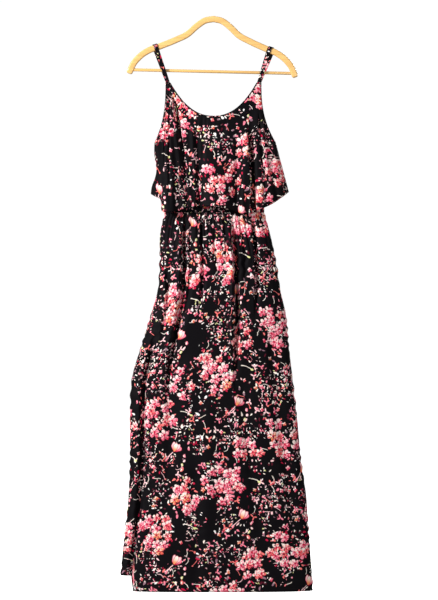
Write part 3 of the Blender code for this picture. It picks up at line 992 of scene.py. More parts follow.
@dataclass(frozen=True)
class Edges:
    """The neckline and armholes that the flounce and the bodice share.

    Attributes:
        strap_top: The height of the straps' lower ends.
        strap_out, strap_in: Their outer and inner edge.
        strap_forward: How far forward they lie.
        seam_run: How far the side seams' cloth runs straight back to the seam.
        cloth_middle: From the edges' outer face to the middle of the layers.
        neck_forward, neck_depth, neck_curve: The scoop.
        underarm, underarm_out, armhole_curve: The armholes.
        below_binding: How far the cloth's edge lies below the binding's.
        strap_facing, turn_facing: How far sideways the cloth faces at a strap and at an underarm.
        fall_columns, turn_columns, neck_columns: Points along each run.
    """

    strap_top: float = -0.158
    strap_out: float = 0.125
    strap_in: float = 0.112
    strap_forward: float = 0.014
    seam_run: float = 0.002
    cloth_middle: float = 0.00165
    neck_forward: float = 0.030
    neck_curve: float = 2.27
    underarm: float = -0.312
    armhole_curve: float = 2.6
    below_binding: float = 0.0034
    strap_facing: float = math.radians(14)
    turn_facing: float = math.radians(35)
    neck_depth: dict = field(default_factory=lambda: {Side.FRONT: 0.087, Side.BACK: 0.096})
    underarm_out: dict = field(default_factory=lambda: {"left": 0.153, "right": 0.162})
    fall_columns: int = 14
    turn_columns: int = 10
    neck_columns: int = 170

    def framed(self, line: Points, facing: Points) -> tuple:
        """Returns an edge's points, directions into the panel, and directions out of the cloth."""
        inward = np.cross(np.gradient(line, axis=0), facing)
        return line, unit(inward), facing

    def armhole(self, out: float, hand: int) -> tuple:
        """Returns the armhole's edge from left to right.

        Args:
            out: The underarm's distance from the middle.
            hand: -1 on the panel's left and 1 on its right.
        """
        radius = self.strap_forward - self.seam_run
        turns = np.linspace(0, math.pi / 2, self.turn_columns + 1)
        fall = np.linspace(0, 1, self.fall_columns + 1)[:-1]
        height = np.concatenate([
            self.strap_top + (self.underarm + radius - self.strap_top) * fall,
            self.underarm + radius * (1 - np.sin(turns)),
        ])
        round_forward = self.seam_run + radius * np.cos(turns)
        forward = np.concatenate([np.full(len(fall), self.strap_forward), round_forward])
        down = (self.strap_top - height) / (self.strap_top - self.underarm)
        across = self.strap_out + (out - self.strap_out) * down**self.armhole_curve
        sideways = np.concatenate([
            self.strap_facing + (self.turn_facing - self.strap_facing) * fall,
            self.turn_facing + (math.pi / 2 - self.turn_facing) * turns / (math.pi / 2),
        ])
        line = np.stack([hand * across, -forward, height], axis=1)
        facing = np.stack([hand * np.sin(sideways), -np.cos(sideways), np.zeros(len(line))], axis=1)
        order = slice(None, None, hand)
        line, inward, facing = self.framed(line[order], facing[order])
        inward[-1 if hand > 0 else 0] = (0, 0, -1)
        return line, inward, facing

    def neck(self, side: Side) -> tuple:
        """Returns the neckline's edge from the left strap to the right one.

        Args:
            side: Front or back.
        """
        share = np.sin(np.linspace(-math.pi / 2, math.pi / 2, self.neck_columns + 1))
        deep = 1 - np.abs(share) ** self.neck_curve
        forward = self.neck_forward - (self.neck_forward - self.strap_forward) * share**2
        height = self.strap_top - self.neck_depth[side] * deep
        line = np.stack([self.strap_in * share, -forward, height], axis=1)
        level = unit(np.gradient(line, axis=0) * [1, 1, 0])
        return self.framed(line, np.stack([level[:, 1], -level[:, 0], level[:, 2]], axis=1))

    def top(self, side: Side, out_of_cloth: float) -> Points:
        """Returns a panel's upper edge: armhole, strap end, neckline, strap end, armhole.

        Args:
            side: Front or back.
            out_of_cloth: How far out of the cloth it lies.
        """
        left, right = side.ordered("left", "right")
        parts = (
            self.armhole(self.underarm_out[left], -1),
            self.neck(side),
            self.armhole(self.underarm_out[right], 1),
        )
        return np.concatenate([a + b * self.below_binding + c * out_of_cloth for a, b, c in parts])

    def hem_shares(self) -> Points:
        """Returns where along a hem each column of the upper edge ends."""
        hem_share = 0.17
        under_arm = np.linspace(0, hem_share, self.fall_columns + self.turn_columns + 1)
        neck = np.linspace(hem_share, 1 - hem_share, self.neck_columns + 3)[1:-1]
        return np.concatenate([under_arm, neck, 1 - under_arm[::-1]])


@dataclass(frozen=True)
class Waist:
    """The gathered waist.

    Attributes:
        left, right: Half its width on each side.
        depth: Half its depth.
        top, bottom: The casing's edges.
    """

    left: float = 0.127
    right: float = 0.132
    depth: float = 0.024
    top: float = -0.4795
    bottom: float = -0.4950


@dataclass(frozen=True)
class Crease:
    """A soft trough or ridge that runs down a panel.

    Attributes:
        top, bottom: Its place across the panel, from 0 at the left seam to 1 at the right.
        start, end: Its height at either end.
        left, right: How wide its two flanks are, as shares of the panel.
        depth: How deep it is, or how proud when negative.
        fade: The share of its length over which it dies away at the lower end.
        bow: How far its middle lies off a straight line.
        jump: How far the print jumps across its bottom, where cloth lies hidden.
        strays: How far, how often and how unlike its neighbours it strays from its line.
    """

    top: float
    bottom: float
    start: float
    end: float
    left: float
    right: float
    depth: float
    fade: float = 0.45
    bow: float = 0.0
    jump: float = 0.0
    strays: ClassVar[tuple] = ((0.0022, 9, 40), (0.0011, 23, 90))

    def line(self, down: Points) -> Points:
        """Returns where across the panel the crease runs, a share of its length down.

        Args:
            down: Shares of its length.
        """
        middle = self.top + (self.bottom - self.top) * down + 4 * self.bow * down * (1 - down)
        for far, often, apart in self.strays:
            middle = middle + far * np.sin(often * down + apart * self.top)
        return middle

    def moved(self, share: Points, height: Points) -> Points:
        """Returns how far the print at each place is moved away from the panel's middle.

        Args:
            share: Where across the panel each point lies.
            height: Its height.
        """
        down = np.clip((self.start - height) / (self.start - self.end), 0, 1)
        past = (share > self.line(down)).astype(float)
        return self.jump * (past - (1 if self.bottom < 0.5 else 0))

    def push(self, share: Points, height: Points) -> Points:
        """Returns how far the crease pulls each point of a grid in.

        Args:
            share: Where across the panel each point lies.
            height: Its height.
        """
        down = (self.start - height) / (self.start - self.end)
        middle = self.line(down)
        strength = ease(down / 0.12) * ease((1 - down) / self.fade)
        strength = np.where((down < 0) | (down > 1), 0.0, strength)
        away = share - middle
        flank = np.where(away < 0, self.left, self.right)
        return self.depth * strength * np.exp(-((away / flank) ** 2))


SKIRT_CREASES: dict = {
    Side.FRONT: (
        Crease(0.104, 0.066, -0.800, -1.490, 0.007, 0.022, 0.0160, 0.04, 0.006),
        Crease(0.238, 0.262, -0.502, -1.060, 0.008, 0.024, 0.0210, 0.45, -0.020),
        Crease(0.382, 0.366, -0.502, -0.780, 0.008, 0.018, 0.0130),
        Crease(0.654, 0.636, -0.502, -0.980, 0.008, 0.022, 0.0240, 0.40, -0.020),
        Crease(0.842, 0.742, -0.502, -0.780, 0.008, 0.024, 0.0200),
        Crease(0.290, 0.270, -0.502, -0.840, 0.008, 0.018, 0.0060),
        Crease(0.500, 0.480, -0.502, -0.700, 0.007, 0.016, 0.0055),
        Crease(0.580, 0.565, -0.502, -0.660, 0.006, 0.014, 0.0055),
        Crease(0.722, 0.700, -0.502, -0.700, 0.007, 0.018, 0.0085),
        Crease(0.086, 0.168, -0.640, -0.850, 0.006, 0.020, 0.0105),
        Crease(0.626, 0.606, -0.520, -0.940, 0.016, 0.012, -0.0055, 0.45, -0.020),
        Crease(0.212, 0.234, -0.520, -1.000, 0.016, 0.012, -0.0045, 0.45, -0.020),
        Crease(0.300, 0.200, -0.820, -1.430, 0.030, 0.050, 0.0060),
        Crease(0.480, 0.430, -0.950, -1.478, 0.050, 0.040, -0.0050),
        Crease(0.660, 0.730, -0.880, -1.478, 0.030, 0.050, 0.0070),
        Crease(0.850, 0.900, -0.780, -1.450, 0.028, 0.040, 0.0070),
        Crease(0.380, 0.410, -1.150, -1.480, 0.030, 0.034, 0.0050, 0.20),
    ),
    Side.BACK: (
        Crease(0.200, 0.150, -0.502, -1.122, 0.014, 0.030, 0.0120),
        Crease(0.380, 0.330, -0.502, -1.372, 0.014, 0.032, 0.0140),
        Crease(0.550, 0.560, -0.502, -0.922, 0.010, 0.026, 0.0130),
        Crease(0.740, 0.800, -0.522, -1.482, 0.014, 0.030, 0.0130, 0.15),
        Crease(0.290, 0.270, -0.502, -0.800, 0.008, 0.018, 0.0065),
        Crease(0.470, 0.450, -0.502, -0.700, 0.007, 0.016, 0.0060),
        Crease(0.640, 0.660, -0.502, -0.760, 0.008, 0.016, 0.0060),
        Crease(0.850, 0.840, -0.502, -0.880, 0.009, 0.020, 0.0080),
        Crease(0.480, 0.500, -0.950, -1.478, 0.040, 0.050, 0.0060),
        Crease(0.660, 0.620, -0.880, -1.440, 0.040, 0.040, -0.0050),
        Crease(0.110, 0.100, -0.900, -1.478, 0.026, 0.036, 0.0060),
    ),
}


@dataclass
class Skirt:
    """The long gathered skirt, one panel a side.

    Attributes:
        outline: Half widths and the depth of each half, at heights from the waist seam to the hem.
        gathers: Fine gathers along one panel's waist.
        columns, rows: Points across and down a panel.
        pucker, pucker_run: How strong the side seams' puckers are, and from one to the next.
        flat_top, flat_hem: A panel's width on the flat cloth.
        side_rise: How far the left side seam draws the hem up.
        rise_starts, rise_from, rise_over: From how far above the hem, and where across.
    """

    waist: Waist
    outline: Table = table(
        "height left right depth",
        (-0.4953, 0.127, 0.132, 0.024),
        (-0.5456, 0.138, 0.146, 0.031),
        (-0.6236, 0.140, 0.163, 0.037),
        (-0.6964, 0.145, 0.174, 0.041),
        (-0.7640, 0.164, 0.189, 0.043),
        (-0.8420, 0.188, 0.196, 0.045),
        (-0.9200, 0.211, 0.205, 0.046),
        (-1.0136, 0.217, 0.216, 0.047),
        (-1.1228, 0.217, 0.226, 0.048),
        (-1.2320, 0.221, 0.241, 0.049),
        (-1.3412, 0.232, 0.249, 0.050),
        (-1.4764, 0.241, 0.259, 0.050),
    )
    gathers: int = 32
    columns: int = 258
    rows: int = 172
    pucker: float = 0.0010
    pucker_run: float = 0.027
    flat_top: float = 0.46
    flat_hem: float = 0.555
    side_rise: float = 0.040
    rise_starts: float = 0.150
    rise_from: float = 0.080
    rise_over: float = 0.012

    def fine_gathers(self, side: Side, share: Points, height: Points) -> Points:
        """Returns the waist's fine gathers, each with its own depth and length.

        Args:
            side: Front or back.
            share: Where across the panel each point lies.
            height: Its height.
        """
        seed = np.random.default_rng(11 if side is Side.FRONT else 29)
        wave = np.zeros_like(share)
        below = self.outline[0]["height"] - height
        for k in range(self.gathers):
            middle = (k + 0.5 + seed.uniform(-0.28, 0.28)) / self.gathers
            lean = seed.uniform(-0.02, 0.02)
            length = seed.uniform(0.05, 0.15) if seed.random() < 0.7 else seed.uniform(0.16, 0.34)
            depth = seed.uniform(0.0022, 0.0046)
            narrow = seed.uniform(0.26, 0.42) / self.gathers
            fading = 1 - ease(below / length)
            wave += depth * fading * np.exp(-(((share - middle - lean * below) / narrow) ** 2))
        return wave

    def seam_puckers(self, heights: Points) -> Points:
        """Returns how far the side seams stand in or out at each height."""
        strong = self.pucker * (1 + np.sin(heights * 37))
        return strong * np.sin(2 * math.pi * heights / self.pucker_run + 3 * np.sin(heights * 23))

    def form(self, side: Side) -> tuple:
        """Returns a panel's points, and each one's place on the flat cloth.

        Args:
            side: Front or back.
        """
        left, right = side.ordered("left", "right")
        top, hem = self.outline[0]["height"], self.outline[-1]["height"]
        heights = top + (hem - top) * np.linspace(0, 1, self.rows) ** 1.15
        knots = -column(self.outline, "height")
        size = {}
        for name in ("left", "right", "depth"):
            size[name] = smooth_through(knots, column(self.outline, name), -heights)
        puckers = self.seam_puckers(heights)
        size["left"], size["right"] = size["left"] + puckers, size["right"] - puckers
        share = np.linspace(0, 1, self.columns)
        rings = zip(size[left], size[right], size["depth"], heights)
        points = np.array([half_ring(*ring, share) for ring in rings])
        grid_share, grid_height = np.meshgrid(share, heights)
        inward = self.fine_gathers(side, grid_share, grid_height)
        for crease in SKIRT_CREASES[side]:
            inward = inward + crease.push(grid_share, grid_height)
        points = pushed_out(points, -inward, grid_share)
        low = ease((hem + self.rise_starts - grid_height) / self.rise_starts)
        from_left = grid_share if side is Side.FRONT else 1 - grid_share
        points[..., 2] += self.side_rise * low * (1 - ease((from_left - self.rise_from) / self.rise_over))
        down = (top - grid_height) / (top - hem)
        flat_width = self.flat_top + (self.flat_hem - self.flat_top) * down
        run = level_run(points)
        along = (run - run[:, :1]) / (run[:, -1:] - run[:, :1])
        flat = np.stack([(along - 0.5) * flat_width, grid_height], axis=-1)
        return placed(closed_at_seams(points), side), widened(flat)

    def build(self, cloth: bpy.types.Material) -> None:
        """Builds both panels.

        Args:
            cloth: Their material.
        """
        for side, shift in ((Side.FRONT, (-0.020, 0.036)), (Side.BACK, (0.431, 0.118))):
            points, flat = self.form(side)
            name = f"skirt_{side.value}_cloth"
            piece = Cloth(name, points, flat + shift).build(cloth)
            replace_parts(piece, f"skirt_{side.value}")
            length = self.outline[0]["height"] - self.outline[-1]["height"]
            area = (self.flat_top + self.flat_hem) / 2 * length
            log.info("%s: %.3f square metres", name, area)


def half_ring(left: float, right: float, depth: float, height: float, share: Points) -> Points:
    """Returns the front half of a hanging ring at shares from its left seam to its right one.

    Args:
        left: Its width left of the middle.
        right: Its width right of the middle.
        depth: How far it stands forward.
        height: Where it lies.
        share: The places along it.
    """
    flatness, seam_run = 2.6, 0.002
    turn = np.linspace(math.pi, 0, 241)
    wide = np.where(np.cos(turn) < 0, left, right)
    across = wide * np.sign(np.cos(turn)) * np.abs(np.cos(turn)) ** (2 / flatness)
    forward = depth * np.abs(np.sin(turn)) ** (2 / flatness) + seam_run
    return spaced(np.stack([across, -forward, np.full(len(turn), height)], axis=1), share)


def pushed_out(points: Points, amount: Points, share: Points, fade: float = 0.05) -> Points:
    """Returns a grid moved out of the cloth, less and less towards the side seams.

    Args:
        points: The grid of points.
        amount: How far each is moved.
        share: Where across the panel each lies.
        fade: The share over which it dies away.
    """
    run = np.gradient(points, axis=1)
    outward = np.stack([run[..., 1], -run[..., 0], np.zeros(run.shape[:2])], axis=-1)
    outward = unit(outward)
    off_seams = ease(share / fade) * ease((1 - share) / fade)
    return points + outward * (amount * off_seams)[..., None]


def closed_at_seams(points: Points) -> Points:
    """Returns a panel with the column at each side seam, straight behind its last one.

    Args:
        points: The panel's points.
    """
    half_gap = 0.00002
    left, right = points[:, :1].copy(), points[:, -1:].copy()
    left[..., 1] = right[..., 1] = -half_gap
    return np.concatenate([left, points, right], axis=1)


def widened(flat: Points) -> Points:
    """Returns a panel's flat places with those of its two seam columns.

    Args:
        flat: The flat places.
    """
    turned = 0.002
    left, right = flat[:, :1] - (turned, 0), flat[:, -1:] + (turned, 0)
    return np.concatenate([left, flat, right], axis=1)


@dataclass
class Casing:
    """The elastic's gathered tunnel.

    Attributes:
        gathers: How many gathers one panel has.
        narrow: A gather's width as a share of the run from one to the next.
        puff: How far the tunnel stands out along its middle.
    """

    waist: Waist
    gathers: int = 28
    narrow: float = 0.34
    puff: float = 0.0022
    columns: int = 252
    flat_width: float = 0.40
    rows: int = 9

    def build(self, cloth: bpy.types.Material) -> None:
        """Builds both halves.

        Args:
            cloth: Their material.
        """
        w = self.waist
        share, down = np.linspace(0, 1, self.columns), np.linspace(0, 1, self.rows)
        grid_share, grid_down = np.meshgrid(share, down)
        length = w.top - w.bottom
        for side in Side:
            left, right = side.ordered(w.left, w.right)
            seed = np.random.default_rng(5 if side is Side.FRONT else 6)
            rows = [half_ring(left, right, w.depth, w.top + (w.bottom - w.top) * d, share) for d in down]
            wave = np.zeros_like(grid_share)
            for k in range(self.gathers):
                middle = (k + 0.5 + seed.uniform(-0.25, 0.25)) / self.gathers
                away = (grid_share - middle) * self.gathers / self.narrow
                wave += seed.uniform(0.003, 0.0056) * np.exp(-(away**2))
            out = self.puff * np.sin(math.pi * grid_down) - wave
            points = closed_at_seams(pushed_out(np.array(rows), out, grid_share))
            flat = np.stack([(grid_share - 0.5) * self.flat_width, -grid_down * length], axis=-1)
            name = f"waist_casing_{side.value}_cloth"
            piece = Cloth(name, placed(points, side), widened(flat) + (0.09, 0.21)).build(cloth)
            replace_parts(piece, f"waist_casing_{side.value}")
            log.info("%s", name)


FLOUNCE_HEMS: dict = {
    Side.FRONT: table(
        "across forward height",
        (-0.1630, 0.000, -0.4470),
        (-0.1500, 0.012, -0.4550),
        (-0.1375, 0.020, -0.4620),
        (-0.1345, 0.034, -0.4900),
        (-0.1240, 0.046, -0.4965),
        (-0.1060, 0.047, -0.4955),
        (-0.0870, 0.034, -0.4910),
        (-0.0660, 0.051, -0.4840),
        (-0.0430, 0.037, -0.4815),
        (-0.0100, 0.056, -0.4806),
        (0.0300, 0.056, -0.4850),
        (0.0585, 0.037, -0.4940),
        (0.0750, 0.052, -0.4988),
        (0.0920, 0.038, -0.4970),
        (0.1150, 0.051, -0.4900),
        (0.1500, 0.040, -0.4720),
        (0.1800, 0.022, -0.4530),
        (0.1960, 0.000, -0.4416),
    ),
    Side.BACK: table(
        "across forward height",
        (-0.1960, 0.000, -0.4416),
        (-0.1780, 0.024, -0.4550),
        (-0.1480, 0.042, -0.4740),
        (-0.1150, 0.036, -0.4860),
        (-0.0850, 0.052, -0.4920),
        (-0.0500, 0.038, -0.4900),
        (-0.0150, 0.056, -0.4860),
        (0.0200, 0.040, -0.4840),
        (0.0550, 0.054, -0.4880),
        (0.0850, 0.038, -0.4910),
        (0.1120, 0.046, -0.4850),
        (0.1300, 0.034, -0.4660),
        (0.1460, 0.018, -0.4550),
        (0.1630, 0.000, -0.4470),
    ),
}

FLOUNCE_CREASES: dict = {
    Side.FRONT: (
        Crease(0.245, 0.312, -0.172, -0.522, 0.009, 0.026, 0.0120, 0.10, 0.030, 0.020),
        Crease(0.225, 0.291, -0.172, -0.522, 0.022, 0.010, -0.0085, 0.10, 0.030),
        Crease(0.185, 0.200, -0.180, -0.520, 0.008, 0.012, 0.0050),
        Crease(0.168, 0.130, -0.180, -0.460, 0.007, 0.012, 0.0050),
        Crease(0.165, 0.085, -0.200, -0.430, 0.007, 0.011, 0.0045),
        Crease(0.408, 0.386, -0.270, -0.522, 0.007, 0.018, 0.0080, 0.12, 0.0, 0.060),
        Crease(0.394, 0.372, -0.270, -0.522, 0.016, 0.008, -0.0040, 0.12),
        Crease(0.610, 0.625, -0.300, -0.600, 0.006, 0.014, 0.0040),
        Crease(0.694, 0.742, -0.280, -0.522, 0.009, 0.024, 0.0150, 0.10, 0.0, 0.235),
        Crease(0.674, 0.722, -0.280, -0.522, 0.024, 0.010, -0.0095, 0.10),
        Crease(0.800, 0.830, -0.230, -0.560, 0.009, 0.020, 0.0070),
        Crease(0.880, 0.905, -0.330, -0.600, 0.012, 0.020, 0.0045),
        Crease(0.450, 0.430, -0.250, -0.420, 0.010, 0.012, 0.0030),
        Crease(0.545, 0.560, -0.250, -0.440, 0.010, 0.012, 0.0030),
    ),
    Side.BACK: (
        Crease(0.200, 0.250, -0.200, -0.640, 0.009, 0.026, 0.0090, 0.15),
        Crease(0.360, 0.390, -0.270, -0.620, 0.008, 0.020, 0.0065, 0.20),
        Crease(0.600, 0.580, -0.270, -0.620, 0.008, 0.020, 0.0070, 0.20),
        Crease(0.790, 0.750, -0.200, -0.640, 0.009, 0.026, 0.0090, 0.15),
        Crease(0.480, 0.490, -0.260, -0.440, 0.010, 0.012, 0.0030),
    ),
}


@dataclass
class HungPanels:
    """The two layers that hang from the neckline and armholes: the flounce and the bodice under it.

    Attributes:
        flounce_rows, bodice_rows: Points down each panel.
        gathers: Small gathers under the neckline of each panel.
        gathered_from, gathered_over: Where across a panel they lie.
        under_flounce, over_binding: How far in or out of the edges each layer starts.
        drawn_in: How far the flounce's left side is drawn in.
        drawn_at, drawn_run, drawn_over: How far down, how far up and down, and how far across.
    """

    edges: Edges
    waist: Waist
    flounce_rows: int = 72
    bodice_rows: int = 26
    gathers: int = 12
    gathered_from: float = 0.38
    gathered_over: float = 0.24
    under_flounce: float = 0.0021
    over_binding: float = 0.0007
    drawn_in: float = 0.010
    drawn_at: float = 0.55
    drawn_run: float = 0.26
    drawn_over: float = 0.16

    def flounce_hem(self, side: Side) -> Points:
        """Returns the flounce's hem line from left to right.

        Args:
            side: Front or back.
        """
        rows = FLOUNCE_HEMS[side]
        at = np.linspace(0, len(rows) - 1, 8 * (len(rows) - 1) + 1)
        knots = np.arange(len(rows), dtype=float)
        across, forward, height = (
            smooth_through(knots, column(rows, name), at) for name in ("across", "forward", "height")
        )
        return np.stack([across, -np.maximum(forward, 0) - self.edges.seam_run, height], axis=1)

    def neck_gathers(self, side: Side, share: Points, down: Points) -> Points:
        """Returns the small gathers under the middle of the neckline.

        Args:
            side: Front or back.
            share: Where across the panel each point lies.
            down: How far down it lies, as a share of the panel.
        """
        seed = np.random.default_rng(41 if side is Side.FRONT else 43)
        wave = np.zeros(share.shape)
        for k in range(self.gathers):
            along = self.gathered_over * (k + 0.5 + seed.uniform(-0.3, 0.3)) / self.gathers
            middle = self.gathered_from + along
            length = seed.uniform(0.10, 0.32)
            depth = seed.uniform(0.0010, 0.0019)
            spread = 1 + 1.5 * down
            bell = np.exp(-(((share - 0.5 - (middle - 0.5) * spread) / (0.0052 * spread)) ** 2))
            wave += depth * ease(down / 0.03) * (1 - ease(down / length)) * bell
        return wave

    def hang(
        self,
        side: Side,
        out: float,
        hem: Points,
        rows: int,
        flare: float,
        creases: Sequence[Crease],
        held: bool = False,
    ) -> tuple:
        """Hangs a panel from its upper edge.

        Args:
            side: Front or back.
            out: How far out of the cloth its upper edge lies.
            hem: Its hem line.
            rows: Rows of points.
            flare: More than 1 keeps the hem's folds small near the top.
            creases: Its folds.
            held: Whether its hem is sewn to the elastic, so that only its troughs follow the folds.

        Returns:
            Its points, their places on the flat cloth and the print's jumps by face.
        """
        shares = self.edges.hem_shares()
        top, bottom = self.edges.top(side, out), spaced(hem, shares)
        down = np.linspace(0, 1, rows)[:, None]
        points = top + (bottom - top) * down[..., None]
        points[..., 1] = top[:, 1] + (bottom - top)[:, 1] * down**flare
        grid_share = np.broadcast_to(shares, points.shape[:2])
        hand, from_left = (1, grid_share) if side is Side.FRONT else (-1, 1 - grid_share)
        if not held:
            waisted = np.exp(-(((down - self.drawn_at) / self.drawn_run) ** 2))
            waisted = waisted * (1 - ease(from_left / self.drawn_over))
            points[..., 0] += hand * self.drawn_in * waisted * ease((1 - down) / 0.3)
        inward = np.zeros(points.shape[:2])
        for crease in creases:
            inward = inward + crease.push(grid_share, points[..., 2])
        inward = inward * ease(down / 0.16)
        if held:
            inward = np.maximum(inward, 0) * (1 - ease((down - 0.70) / 0.30))
        inward = inward + self.neck_gathers(side, grid_share, down)
        points = pushed_out(points, -inward, grid_share)
        middle_share, middle_height = (
            (grid[1:, 1:] + grid[:-1, :-1]) / 2 for grid in (grid_share, points[..., 2])
        )
        jump = sum(crease.moved(middle_share, middle_height) for crease in creases)
        jump = np.pad(jump, ((0, 0), (1, 1)), mode="edge")
        flat = np.stack([level_run(points), points[..., 2]], axis=-1)
        return placed(closed_at_seams(points), side), widened(flat), jump

    def cut_area(self, points: Points) -> float:
        """Returns the area of a grid of points.

        Args:
            points: The grid.
        """
        a, b, c, d = points[:-1, :-1], points[1:, :-1], points[1:, 1:], points[:-1, 1:]
        halves = (np.cross(b - a, d - a), np.cross(d - c, b - c))
        return float(sum(np.linalg.norm(half, axis=-1) for half in halves).sum() / 2)

    def build(self, cloth: bpy.types.Material, edging: dict) -> None:
        """Builds the four panels.

        Args:
            cloth: Their material.
            edging: The bindings by panel.
        """
        w = self.waist
        for side, shift in ((Side.FRONT, (-0.018, 0.124)), (Side.BACK, (0.62, 0.19))):
            creases = FLOUNCE_CREASES[side]
            hem = self.flounce_hem(side)
            form = self.hang(side, self.over_binding, hem, self.flounce_rows, 1.25, creases)
            self.add(f"flounce_{side.value}", form, shift, (0.50, 0.345), cloth, edging[side])
            left, right = side.ordered(w.left, w.right)
            hem = half_ring(left, right, w.depth, w.top + SEAM_GAP, np.linspace(0, 1, 241))
            form = self.hang(side, -self.under_flounce, hem, self.bodice_rows, 1.6, creases, held=True)
            under = (shift[0] + 0.31, shift[1] + 0.11)
            self.add(f"bodice_{side.value}", form, under, (0.345, 0.325), cloth)

    def add(
        self,
        node: str,
        form: tuple,
        shift: tuple,
        cut: tuple,
        cloth: bpy.types.Material,
        edging: Sequence = (),
    ) -> None:
        """Adds one panel.

        Args:
            node: The solid that it stands for.
            form: Its points, their flat places and the print's jumps.
            shift: Where on the print it is cut.
            cut: The width and length that it is cut to.
            cloth: Its material.
            edging: The bindings sewn to it. Not used.
        """
        points, flat, jump = form
        area = min(self.cut_area(points), cut[0] * cut[1])
        piece = Cloth(f"{node}_cloth", points, flat + shift, jump=jump).build(cloth)
        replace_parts(piece, node)
        log.info("%s: %.3f square metres of %.3f", node, area, cut[0] * cut[1])


@dataclass
class Trim:
    """The narrow rolled bindings of the neckline and armholes.

    Attributes:
        radius: Half a rolled edge's thickness.
        cut_width: How wide its strip is cut.
        sides: Points round it.
        inset: How far its middle lies from the panel's edge.
    """

    edges: Edges
    radius: float = 0.0019
    cut_width: float = 0.012
    sides: int = 14
    inset: float = 0.002

    def tube(self, name: str, line: Points, finish: bpy.types.Material) -> bpy.types.Object:
        """Makes a rolled edge along a line.

        Args:
            name: The piece's name.
            line: Its middle line.
            finish: Its material.

        Returns:
            The closed tube.
        """
        turns = np.linspace(0, 2 * math.pi, self.sides + 1)[:-1]
        run = unit(np.gradient(line, axis=0))
        across = np.cross(run, (0.0, 1.0, 0.0))
        short = np.linalg.norm(across, axis=1) < 0.2
        across[short] = np.cross(run[short], (0.0, 0.0, 1.0))
        across = unit(across)
        up = np.cross(run, across)
        ring = across[:, None] * np.cos(turns)[None, :, None] + up[:, None] * np.sin(turns)[None, :, None]
        points = line[:, None] + ring * self.radius
        along = lengths(line)
        mesh = bpy.data.meshes.new(name)
        count = len(points)
        index = np.arange(count * self.sides).reshape(count, self.sides)
        after = np.roll(index, -1, axis=1)
        faces = np.stack([index[:-1], after[:-1], after[1:], index[1:]], axis=-1).reshape(-1, 4).tolist()
        faces += [index[0][::-1].tolist(), index[-1].tolist()]
        mesh.from_pydata(points.reshape(-1, 3), [], faces)
        shell = bmesh.new()
        shell.from_mesh(mesh)
        bmesh.ops.recalc_face_normals(shell, faces=shell.faces)
        shell.to_mesh(mesh)
        shell.free()
        mesh.shade_smooth()
        layer = mesh.uv_layers.new(name="flat_cloth")
        for loop in mesh.loops:
            row, turn = divmod(loop.vertex_index, self.sides)
            layer.data[loop.index].uv = (abs(turn / self.sides - 0.5) * 2 * self.cut_width, along[row])
        mesh.materials.append(finish)
        piece = bpy.data.objects.new(name, mesh)
        bpy.context.scene.collection.objects.link(piece)
        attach(piece, BODY)
        log.info("%s: %.3f m", name, along[-1])
        return piece

    def rolled(self, edge: tuple) -> Points:
        """Returns the middle line of the binding along an edge."""
        line, inward, facing = edge
        return line + inward * self.inset - facing * self.edges.cloth_middle

    def build(self, finish: bpy.types.Material) -> dict:
        """Builds the neck and armhole bindings.

        Args:
            finish: Their material.

        Returns:
            The bindings by the panel that they finish.
        """
        made = {}
        for side in Side:
            line = placed(self.rolled(self.edges.neck(side)), side)
            piece = self.tube(f"neck_rolled_{side.value}", line, finish)
            made[side] = [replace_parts(piece, f"neck_binding_{side.value}")]
        for hand, name, side in ((-1, "left", Side.FRONT), (1, "right", Side.BACK)):
            out = self.edges.underarm_out[name]
            front = self.rolled(self.edges.armhole(out, hand))[::hand]
            back = placed(self.rolled(self.edges.armhole(out, -hand)), Side.BACK)[::hand]
            piece = self.tube(f"armhole_rolled_{name}", np.concatenate([front, back]), finish)
            made[side].append(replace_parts(piece, f"armhole_binding_{name}"))
        return made


@dataclass(frozen=True)
class BowLine:
    """The hanger bow's centre line and board.

    Attributes:
        drop: How far the line has come down at distances out from the crown.
        tilt: How far the hanger hangs down on the right.
        middle: The line's height at the crown.
        height, board: The bow's section.
    """

    drop: Table = table(
        "out down",
        (0.0000, 0.0000),
        (0.0220, 0.0045),
        (0.0440, 0.0200),
        (0.0650, 0.0396),
        (0.0960, 0.0560),
        (0.1390, 0.0744),
        (0.1700, 0.0870),
        (0.1920, 0.1040),
        (0.2070, 0.1235),
        (0.2150, 0.1425),
    )
    tilt: float = math.radians(1.3)
    middle: float = 0.008
    height: float = 0.016
    board: float = 0.012

    def centre(self, out: Points) -> Points:
        """Returns the untilted line's across and height at distances out, negative to the left.

        Args:
            out: The distances.
        """
        out = np.atleast_1d(np.asarray(out, float))
        down = smooth_through(column(self.drop, "out"), column(self.drop, "down"), np.abs(out))
        return np.stack([out, self.middle - down], axis=1)

    def tilted(self, points: Points) -> Points:
        """Returns untilted across and height pairs as the hanger hangs.

        Args:
            points: The pairs.
        """
        c, s = math.cos(self.tilt), math.sin(self.tilt)
        across, height = points[:, 0], points[:, 1]
        return np.stack([across * c + height * s, height * c - across * s], axis=1)


